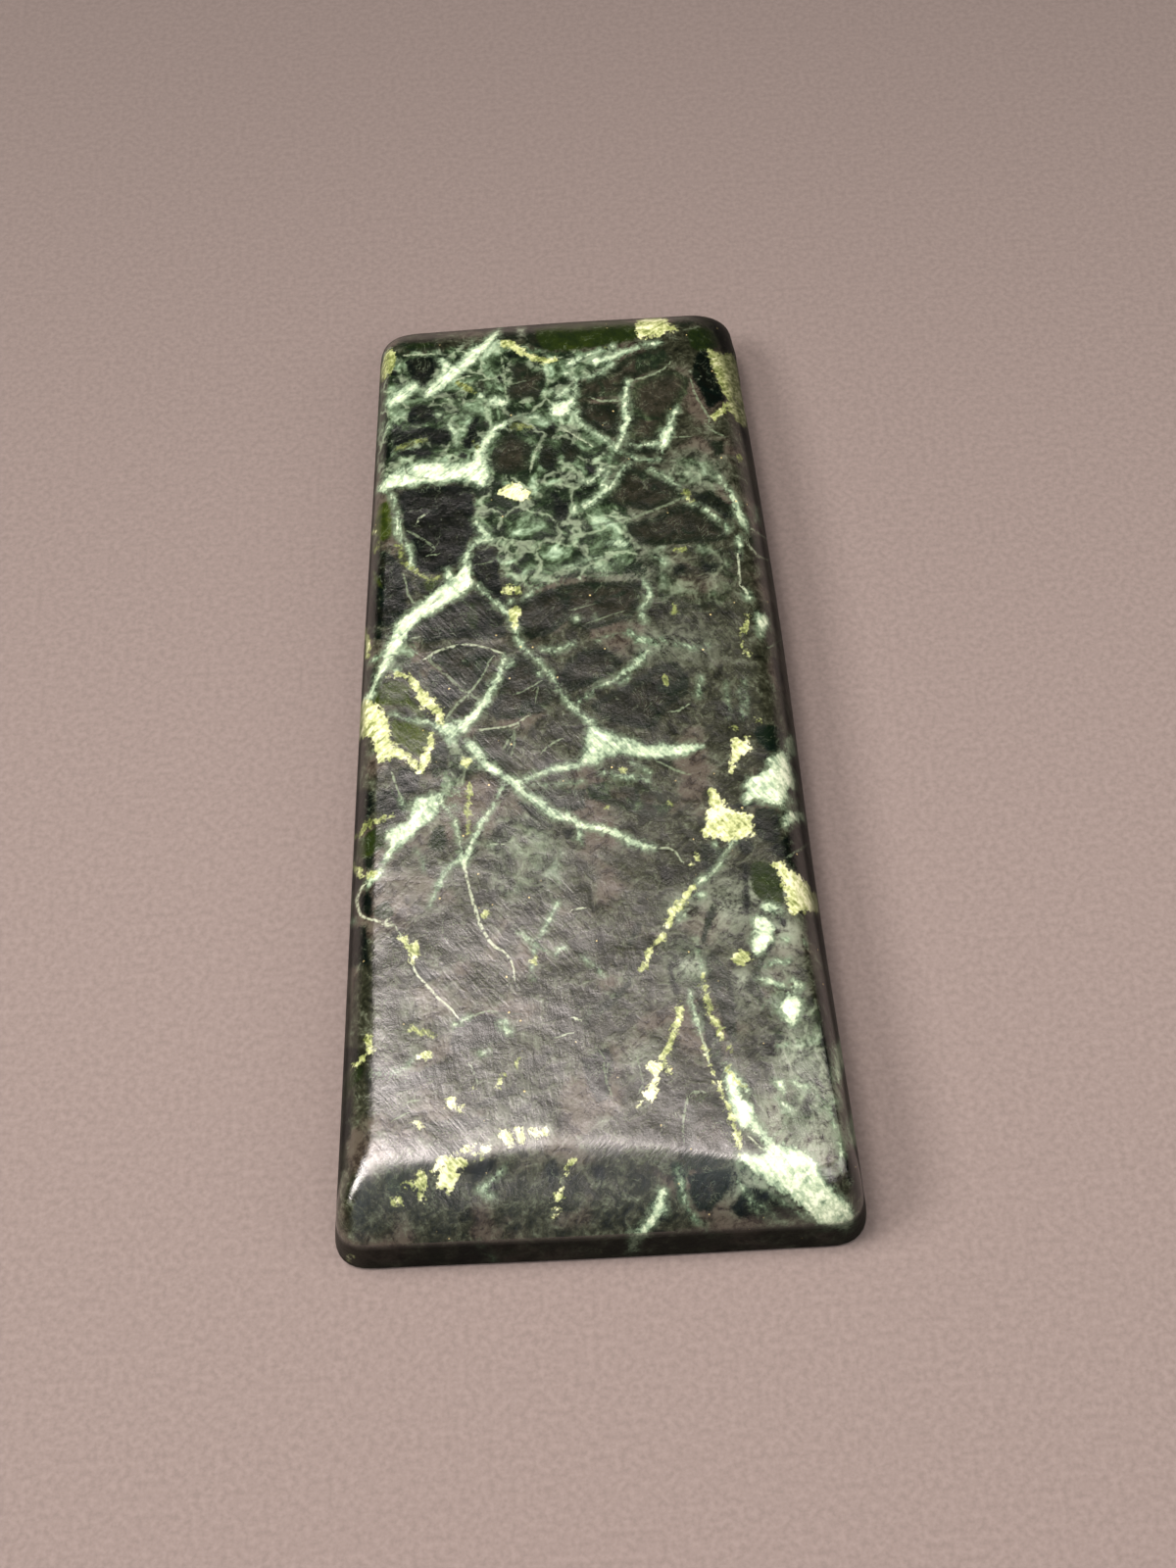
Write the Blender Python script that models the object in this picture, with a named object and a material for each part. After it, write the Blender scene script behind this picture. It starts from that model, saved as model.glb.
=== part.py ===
"""A cut and polished serpentine slab that lies flat on its sawn base.

The stone is a long tapered tablet. It has a flat base, a nearly upright girdle wall, a bevel
that rolls over from the wall to the table, and a table with a very slight crown. Every edge
was ground by hand, so each side of the bevel has its own width and its own roundness.

Axes: +Y runs along the length to the narrow end, +X to the right of someone at the wide end,
+Z up. The origin is on the base plane, under the middle of the stone's outline.
"""

from math import cos, pi, sin

import bpy
from mathutils import Vector

MM = 0.001

# Heights above the surface that the stone lies on.
FOOT_CHAMFER = 0.2 * MM
WALL_HEIGHT = 2.5 * MM
CREASE_HEIGHT = 5.0 * MM
THICKNESS = 5.3 * MM

# The wall leans in by this much between the foot and its upper edge.
WALL_LEAN = 0.3 * MM

# Corners of the girdle and of the table, counter-clockwise from the near left corner, as
# x, y and the length of side that the rounding of the corner takes up. The long right side
# has a slight shoulder, so both outlines have five corners.
GIRDLE_CORNERS = [
    (-13.30 * MM, -29.70 * MM, 2.0 * MM),
    (13.45 * MM, -29.90 * MM, 2.1 * MM),
    (11.95 * MM, 16.35 * MM, 9.0 * MM),
    (11.05 * MM, 29.95 * MM, 2.3 * MM),
    (-10.65 * MM, 29.65 * MM, 2.8 * MM),
]
TABLE_CORNERS = [
    (-10.60 * MM, -26.05 * MM, 1.4 * MM),
    (12.10 * MM, -27.75 * MM, 1.6 * MM),
    (9.90 * MM, 16.85 * MM, 3.0 * MM),
    (7.30 * MM, 26.25 * MM, 1.4 * MM),
    (-9.30 * MM, 25.95 * MM, 1.4 * MM),
]

# How far the middle of each side stands out from the line between its corners, in the order
# near, right, right shoulder, far, left. A negative value is a hollow.
GIRDLE_BOWS = [0.05 * MM, -0.15 * MM, 0.08 * MM, 0.10 * MM, 0.10 * MM]
TABLE_BOWS = [-1.10 * MM, -0.45 * MM, -0.20 * MM, 0.10 * MM, 0.35 * MM]

# How far the bevel of each side is rolled over, in the same order: 0 is a flat chamfer and
# 1 is a quarter of an ellipse.
BEVEL_ROUNDNESS = [0.35, 0.55, 0.50, 0.55, 0.85]

SIDE_STEPS = [20, 24, 10, 18, 28]
CORNER_STEPS = 6
BEVEL_STEPS = 7
TABLE_RINGS = [0.96, 0.86, 0.66, 0.36]

SHARP_ANGLE = 0.5


def blend(a, b, share):
    """The value that lies the given share of the way from a to b."""
    return a + (b - a) * share


def smooth(share):
    """An even run from 0 to 1 that starts and ends level."""
    return share * share * (3.0 - 2.0 * share)


def outline(corners, bows):
    """Points round a polygon whose corners are rounded and whose sides are bowed."""
    places = [Vector((x, y)) for x, y, _ in corners]
    count = len(corners)
    points = []
    for index in range(count):
        corner = places[index]
        following = places[(index + 1) % count]
        to_next = (following - corner).normalized()
        to_last = (places[index - 1] - corner).normalized()
        length = corners[index][2]
        start = corner + to_last * length
        end = corner + to_next * length
        for step in range(CORNER_STEPS):
            share = step / CORNER_STEPS
            first = start.lerp(corner, share)
            second = corner.lerp(end, share)
            points.append(first.lerp(second, share))
        side_end = following - to_next * corners[(index + 1) % count][2]
        outward = Vector((to_next.y, -to_next.x))
        for step in range(SIDE_STEPS[index]):
            share = step / SIDE_STEPS[index]
            bow = bows[index] * sin(pi * share) ** 2
            points.append(end.lerp(side_end, share) + outward * bow)
    return points


def roundness_round():
    """The bevel's roundness at each outline point, blended from side to side at the corners."""
    values = []
    for index, steps in enumerate(SIDE_STEPS):
        before = BEVEL_ROUNDNESS[index - 1]
        here = BEVEL_ROUNDNESS[index]
        for step in range(CORNER_STEPS):
            values.append(blend(before, here, smooth(step / CORNER_STEPS)))
        values.extend([here] * steps)
    return values


def centred(girdle, table):
    """Both outlines, moved so that the middle of the girdle's extent is the origin."""
    xs = [point.x for point in girdle]
    ys = [point.y for point in girdle]
    middle = Vector(((min(xs) + max(xs)) / 2.0, (min(ys) + max(ys)) / 2.0))
    return [point - middle for point in girdle], [point - middle for point in table]


def pulled_in(points, distance):
    """The outline moved inward, square to its own run, by the distance."""
    moved = []
    count = len(points)
    for index, point in enumerate(points):
        run = (points[(index + 1) % count] - points[index - 1]).normalized()
        moved.append(point + Vector((-run.y, run.x)) * distance)
    return moved


def ring(points, height):
    """The outline's points at one height."""
    return [Vector((point.x, point.y, height)) for point in points]


def wall_rings(girdle):
    """The chamfered foot and the leaning girdle wall."""
    return [
        ring(pulled_in(girdle, FOOT_CHAMFER), 0.0),
        ring(girdle, FOOT_CHAMFER),
        ring(pulled_in(girdle, WALL_LEAN), WALL_HEIGHT),
    ]


def bevel_rings(edge, table, roundness):
    """The bevel from the wall's upper edge to the crease round the table."""
    rings = []
    for step in range(1, BEVEL_STEPS + 1):
        share = step / BEVEL_STEPS
        turn = share * pi / 2.0
        points = []
        for start, end, roll in zip(edge, table, roundness):
            inward = blend(share, 1.0 - cos(turn), roll)
            upward = blend(share, sin(turn), roll)
            place = start.lerp(end, inward)
            height = blend(WALL_HEIGHT, CREASE_HEIGHT, upward)
            points.append(Vector((place.x, place.y, height)))
        rings.append(points)
    return rings


def table_rings(table):
    """The crowned table, as ever smaller copies of its outline."""
    rings = []
    for size in TABLE_RINGS:
        height = blend(THICKNESS, CREASE_HEIGHT, size * size)
        rings.append(ring([point * size for point in table], height))
    return rings


def stone_material():
    """Polished dark green stone."""
    material = bpy.data.materials.new("serpentine")
    material.use_nodes = True
    shader = material.node_tree.nodes["Principled BSDF"]
    shader.inputs["Base Color"].default_value = (0.035, 0.045, 0.032, 1.0)
    shader.inputs["Roughness"].default_value = 0.12
    shader.inputs["Metallic"].default_value = 0.0
    return material


def stone_mesh(rings, peak):
    """One closed skin over the rings, with a flat base and a fan at the top."""
    count = len(rings[0])
    vertices = [point for one in rings for point in one]
    vertices.append(peak)
    top = len(vertices) - 1
    faces = [tuple(reversed(range(count)))]
    for level in range(len(rings) - 1):
        low = level * count
        high = low + count
        for index in range(count):
            after = (index + 1) % count
            faces.append((low + index, low + after, high + after, high + index))
    last = (len(rings) - 1) * count
    for index in range(count):
        faces.append((last + index, last + (index + 1) % count, top))
    mesh = bpy.data.meshes.new("serpentine_slab")
    mesh.from_pydata([tuple(vertex) for vertex in vertices], [], faces)
    mesh.update()
    mesh.shade_smooth()
    mesh.set_sharp_from_angle(angle=SHARP_ANGLE)
    return mesh


def serpentine_slab():
    """The whole stone, in one piece."""
    girdle, table = centred(outline(GIRDLE_CORNERS, GIRDLE_BOWS), outline(TABLE_CORNERS, TABLE_BOWS))
    edge = pulled_in(girdle, WALL_LEAN)
    rings = wall_rings(girdle) + bevel_rings(edge, table, roundness_round()) + table_rings(table)
    stone = bpy.data.objects.new("serpentine_slab", stone_mesh(rings, Vector((0.0, 0.0, THICKNESS))))
    stone.data.materials.append(stone_material())
    bpy.context.scene.collection.objects.link(stone)
    return stone


def main():
    for old in list(bpy.data.objects):
        bpy.data.objects.remove(old, do_unlink=True)
    serpentine_slab()


main()
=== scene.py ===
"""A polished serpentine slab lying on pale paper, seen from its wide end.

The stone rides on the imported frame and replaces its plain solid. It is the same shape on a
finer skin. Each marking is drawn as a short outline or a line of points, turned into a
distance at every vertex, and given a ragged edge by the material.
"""

import bpy
import numpy as np
from mathutils import Matrix, Vector
from mathutils.kdtree import KDTree


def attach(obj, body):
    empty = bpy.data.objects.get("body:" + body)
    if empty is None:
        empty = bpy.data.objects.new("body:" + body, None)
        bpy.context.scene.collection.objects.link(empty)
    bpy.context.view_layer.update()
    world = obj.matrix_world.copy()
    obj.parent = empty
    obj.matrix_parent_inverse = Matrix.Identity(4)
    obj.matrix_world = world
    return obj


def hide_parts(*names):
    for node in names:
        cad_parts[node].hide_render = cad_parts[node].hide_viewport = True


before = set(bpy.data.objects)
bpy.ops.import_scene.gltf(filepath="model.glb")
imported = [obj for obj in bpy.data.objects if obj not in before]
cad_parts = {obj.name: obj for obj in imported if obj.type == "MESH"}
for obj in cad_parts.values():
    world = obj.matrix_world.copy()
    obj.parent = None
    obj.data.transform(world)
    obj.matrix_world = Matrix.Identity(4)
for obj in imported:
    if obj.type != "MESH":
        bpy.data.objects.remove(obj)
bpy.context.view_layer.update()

MM = 0.001

# The solid's own measures, in millimetres.
FOOT_CHAMFER = 0.2
WALL_HEIGHT = 2.5
CREASE_HEIGHT = 5.0
THICKNESS = 5.3
WALL_LEAN = 0.3
GIRDLE_CORNERS = [
    (-13.30, -29.70, 2.0),
    (13.45, -29.90, 2.1),
    (11.95, 16.35, 9.0),
    (11.05, 29.95, 2.3),
    (-10.65, 29.65, 2.8),
]
TABLE_CORNERS = [
    (-10.60, -26.05, 1.4),
    (12.10, -27.75, 1.6),
    (9.90, 16.85, 3.0),
    (7.30, 26.25, 1.4),
    (-9.30, 25.95, 1.4),
]
GIRDLE_BOWS = [0.05, -0.15, 0.08, 0.10, 0.10]
TABLE_BOWS = [-1.10, -0.45, -0.20, 0.10, 0.35]
BEVEL_ROUNDNESS = [0.35, 0.55, 0.50, 0.55, 0.85]

# Polishing has rounded the crease round the table. The skin is lower there by this much, and
# about a third of it is left this far from the crease. It starts this share up the bevel.
CREASE_DROP = 0.075
CREASE_REACH = 0.55
SOFTENED_FROM = 0.4

# Vertices along each side and corner of the outlines. The near and far sides have as many as
# each other, and so do the long sides with the shoulder, which is corner 2, counted in.
CORNER_STEPS = 8
SHOULDER = 2
SHOULDER_STEPS = 40
SIDE_STEPS = [168, 208, 72, 168, 320]
BEVEL_STEPS = 20
WALL_STEPS = 8
BASE_COARSENESS = 4

# Edges that turn by more than this, in radians, are shaded sharp.
SHARP_ANGLE = 0.5

# The veins dip through the stone at a slant. A marking's place is where it crosses the level
# of the table's top. Lower down it lies nearer to the narrow end, by this much for each unit
# of depth, and by the growth more for each millimetre towards that end.
DIP = 0.60
DIP_GROWTH = 0.0085

# All places and widths of markings below are in millimetres. An area is a tone and its
# corners. A vein is a tone and its points, each with the width there. The tone of a dark area
# runs from 0, black green, to 1, dark brown.
DARK_AREAS = [
    # Far end, left half.
    (0.7, [(-9.0, 27.1), (-7.0, 27.1), (-6.9, 26.5), (-7.0, 25.8), (-7.9, 25.6), (-9.0, 25.8),
           (-9.5, 26.2)]),
    (0.1, [(-8.9, 25.1), (-7.3, 25.3), (-7.0, 24.7), (-7.1, 24.0), (-7.3, 23.5), (-7.7, 22.8),
           (-8.1, 22.9), (-8.5, 23.4), (-8.8, 24.2)]),
    (0.2, [(-8.8, 20.9), (-8.4, 21.4), (-7.8, 21.6), (-7.1, 21.1), (-7.3, 20.6), (-7.8, 20.0),
           (-8.4, 19.9), (-8.8, 20.3)]),
    (0.0, [(-9.6, 19.0), (-9.3, 19.5), (-8.6, 19.7), (-7.6, 19.8), (-6.8, 19.7), (-6.4, 19.8),
           (-6.1, 19.3), (-6.2, 18.6), (-6.8, 18.4), (-7.4, 18.5), (-7.7, 19.0), (-8.5, 18.8),
           (-9.3, 18.4), (-9.8, 18.6)]),
    (0.1, [(-9.5, 18.0), (-8.9, 18.2), (-8.1, 18.2), (-7.4, 18.1), (-7.4, 17.7), (-8.3, 17.7),
           (-9.4, 17.8)]),
    (0.0, [(-4.9, 20.3), (-4.6, 20.3), (-4.6, 19.9), (-4.8, 19.8), (-4.7, 19.2), (-4.9, 18.6),
           (-5.0, 17.9), (-5.5, 18.0), (-5.6, 18.4), (-5.3, 19.0), (-5.3, 19.6), (-5.0, 19.9)]),
    (0.2, [(-5.8, 17.8), (-5.3, 17.7), (-5.4, 17.2), (-5.8, 17.5)]),
    (0.7, [(-2.6, 24.1), (-2.2, 24.5), (-1.7, 24.2), (-1.3, 23.6), (-0.7, 23.7), (-0.5, 23.2),
           (-0.6, 22.4), (-0.9, 21.8), (-1.2, 21.3), (-1.5, 21.7), (-2.1, 21.5), (-2.6, 21.5),
           (-2.9, 21.9), (-2.8, 22.6), (-2.4, 22.9), (-2.6, 23.4)]),
    (0.2, [(-2.9, 25.4), (-2.5, 25.1), (-2.1, 25.2), (-2.1, 24.8), (-2.7, 24.7)]),
    (0.5, [(-3.0, 27.2), (-2.3, 27.2), (-2.0, 26.3), (-2.2, 26.1), (-3.1, 26.2)]),
    (0.5, [(-1.5, 27.3), (0.2, 27.4), (0.0, 25.0), (-0.8, 25.3), (-1.7, 25.8)]),
    (0.7, [(-3.9, 17.8), (-3.4, 18.4), (-3.0, 19.2), (-2.6, 19.0), (-2.2, 18.6), (-1.8, 18.3),
           (-1.5, 17.8), (-1.7, 17.0), (-1.9, 16.2), (-2.6, 15.9), (-3.5, 15.9), (-3.9, 16.3),
           (-4.0, 17.0)]),
    (0.5, [(-1.0, 18.0), (-0.6, 18.0), (-0.1, 17.5), (0.0, 16.8), (-0.4, 16.1), (-1.0, 16.2),
           (-1.3, 16.8), (-1.1, 17.5)]),
    (0.4, [(-0.8, 19.2), (-0.2, 19.6), (0.0, 19.0), (-0.4, 18.4), (-0.7, 18.5)]),
    (0.8, [(-4.6, 23.1), (-4.3, 23.2), (-4.1, 22.5), (-4.3, 22.2), (-4.6, 22.6)]),
    (0.1, [(-6.3, 22.4), (-5.8, 22.3), (-5.8, 21.8), (-6.2, 21.8)]),
    (0.1, [(-3.5, 23.4), (-3.2, 23.4), (-3.1, 22.8), (-3.3, 22.9)]),
    (0.3, [(-9.9, 24.0), (-9.4, 24.6), (-9.2, 23.7)]),
    (0.6, [(-4.4, 20.0), (-4.0, 20.0), (-4.0, 19.6), (-4.3, 19.6)]),
    (0.1, [(-10.3, 18.0), (-10.0, 19.3), (-9.3, 20.0), (-9.1, 20.2), (-9.4, 19.4), (-9.8, 18.6),
           (-9.7, 17.8), (-10.2, 17.2)]),
    # Far end, right half.
    (0.7, [(7.0, 27.4), (8.8, 27.4), (8.6, 26.8), (7.8, 26.3), (7.3, 26.8)]),
    (0.0, [(9.8, 27.0), (10.4, 26.3), (10.8, 24.8), (10.3, 24.2), (9.9, 25.2), (9.4, 26.5)]),
    (0.6, [(0.3, 26.6), (2.0, 26.6), (2.2, 25.4), (0.4, 25.2)]),
    (0.8, [(1.5, 22.6), (2.4, 22.9), (3.0, 23.1), (4.2, 24.3), (6.2, 25.0), (6.6, 24.6),
           (6.9, 23.9), (6.4, 23.4), (4.9, 22.7), (4.3, 22.6), (4.1, 22.0), (4.0, 21.4),
           (2.8, 21.3), (1.3, 21.3), (1.2, 22.0)]),
    (0.6, [(1.4, 21.0), (2.5, 20.8), (3.5, 20.8), (3.7, 20.0), (3.5, 18.9), (3.3, 18.1),
           (2.6, 18.6), (1.6, 19.3), (1.3, 20.0)]),
    (0.6, [(0.2, 18.4), (0.7, 18.1), (1.3, 17.3), (0.9, 16.6), (0.3, 16.5), (0.1, 17.5)]),
    (0.9, [(4.6, 22.3), (6.4, 23.1), (7.3, 23.0), (7.9, 22.4), (7.7, 21.2), (7.1, 20.4),
           (6.6, 19.8), (6.2, 19.1), (5.8, 18.4), (5.7, 17.8), (4.1, 17.9), (4.1, 18.8),
           (4.4, 19.6), (4.3, 20.6), (4.4, 21.5)]),
    (0.5, [(3.8, 17.4), (4.6, 17.4), (5.6, 17.4), (5.7, 17.0), (5.3, 16.8), (4.3, 16.9),
           (3.9, 17.1)]),
    (0.0, [(8.5, 24.3), (8.9, 24.7), (9.2, 24.2), (9.3, 23.2), (9.6, 22.0), (10.0, 20.6),
           (9.4, 20.4), (8.9, 19.9), (8.6, 20.8), (8.4, 21.5), (8.0, 22.6), (8.2, 23.5)]),
    (0.5, [(8.6, 17.7), (9.5, 17.5), (9.6, 16.6), (9.0, 16.4)]),
    (0.0, [(10.7, 18.5), (11.2, 18.4), (11.3, 16.8), (10.8, 16.8)]),
    # Between the shoulder and the middle, left half.
    (0.0, [(-9.33, 14.8), (-9.06, 15.2), (-7.7, 15.3), (-6.4, 15.4), (-5.2, 15.2), (-5.0, 14.3),
           (-5.0, 13.0), (-5.1, 12.0), (-5.4, 11.3), (-5.65, 10.5), (-5.9, 9.9), (-6.1, 9.55),
           (-6.8, 9.3), (-7.3, 9.06), (-7.7, 9.1), (-8.26, 9.4), (-8.6, 9.9), (-8.6, 11.4),
           (-9.0, 12.0), (-9.15, 13.0), (-9.25, 14.0)]),
    (0.1, [(-10.8, 11.0), (-10.2, 11.0), (-9.7, 10.6), (-9.3, 10.0), (-9.2, 9.0), (-9.1, 8.0),
           (-9.0, 7.0), (-9.2, 6.2), (-10.0, 5.6), (-11.4, 5.8), (-11.4, 8.0), (-11.2, 10.0)]),
    (0.0, [(-9.0, 9.0), (-8.75, 9.0), (-8.45, 7.7), (-8.75, 7.7)]),
    (0.5, [(-8.45, 8.9), (-8.1, 8.9), (-7.85, 7.9), (-8.15, 7.8)]),
    (0.1, [(-5.2, 10.2), (-5.0, 10.6), (-4.5, 10.5), (-4.1, 10.7), (-3.9, 10.2), (-3.75, 9.5),
           (-3.7, 8.5), (-3.6, 7.6), (-3.2, 6.6), (-3.5, 6.7), (-4.1, 7.4), (-4.5, 7.7),
           (-4.9, 8.3), (-5.2, 9.0), (-5.4, 9.8)]),
    (0.4, [(-3.2, 9.4), (-2.9, 9.6), (-2.5, 9.2), (-2.5, 8.7), (-2.9, 8.8)]),
    (0.3, [(-8.2, 6.0), (-7.0, 6.6), (-6.0, 7.2), (-5.2, 7.7), (-4.4, 7.0), (-3.6, 5.8),
           (-3.4, 4.6), (-4.4, 4.4), (-5.6, 4.6), (-7.0, 4.6), (-8.0, 4.4)]),
    (0.5, [(-3.2, 6.6), (-2.4, 6.9), (-1.8, 7.4), (-0.4, 7.8), (0.4, 7.0), (0.2, 5.6),
           (-0.8, 4.6), (-2.2, 4.2), (-2.7, 5.2)]),
    # Between the shoulder and the middle, right half.
    (0.0, [(-0.55, 14.4), (-0.2, 14.4), (0.05, 13.6), (0.6, 13.9), (0.45, 13.4), (0.35, 12.8),
           (0.1, 12.4), (-0.45, 12.6)]),
    (0.1, [(0.7, 14.5), (1.2, 14.3), (1.1, 13.9), (0.75, 14.0)]),
    (0.1, [(1.1, 15.0), (2.1, 15.0), (2.0, 14.5), (1.2, 14.4)]),
    (0.2, [(1.5, 16.2), (2.0, 16.2), (2.0, 15.6), (1.6, 15.6)]),
    (0.7, [(3.7, 15.9), (4.2, 15.9), (4.8, 15.7), (5.3, 15.3), (5.8, 15.0), (6.3, 14.6),
           (6.8, 14.0), (7.0, 13.5), (6.4, 13.3), (5.7, 13.0), (5.0, 12.7), (4.3, 12.9),
           (3.9, 13.0), (3.2, 13.2), (2.6, 13.5), (2.7, 14.0), (3.1, 14.7), (3.4, 15.4)]),
    (0.6, [(3.6, 11.9), (4.4, 12.1), (5.2, 12.3), (6.0, 12.7), (6.9, 13.2), (7.5, 12.9),
           (8.2, 12.3), (8.8, 11.6), (9.2, 10.9), (9.3, 10.4), (8.6, 10.3), (7.0, 10.3),
           (6.0, 10.2), (5.0, 10.3), (4.2, 10.4), (3.9, 10.9), (3.6, 11.4)]),
    (0.3, [(7.4, 14.0), (8.0, 13.8), (8.6, 14.0), (9.0, 13.4), (9.5, 13.0), (9.8, 12.3),
           (9.5, 11.6), (9.0, 12.1), (8.4, 12.7), (7.7, 13.1)]),
    (0.7, [(-0.5, 7.8), (1.2, 8.0), (3.2, 7.9), (4.1, 7.7), (4.2, 6.4), (3.6, 5.4), (1.6, 4.7),
           (0.2, 4.9), (-0.5, 6.0)]),
    (0.4, [(6.0, 8.9), (6.8, 8.8), (6.7, 8.1), (6.1, 8.2)]),
    (0.3, [(7.7, 8.9), (8.6, 8.8), (8.5, 8.1), (7.8, 8.2)]),
]

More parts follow.
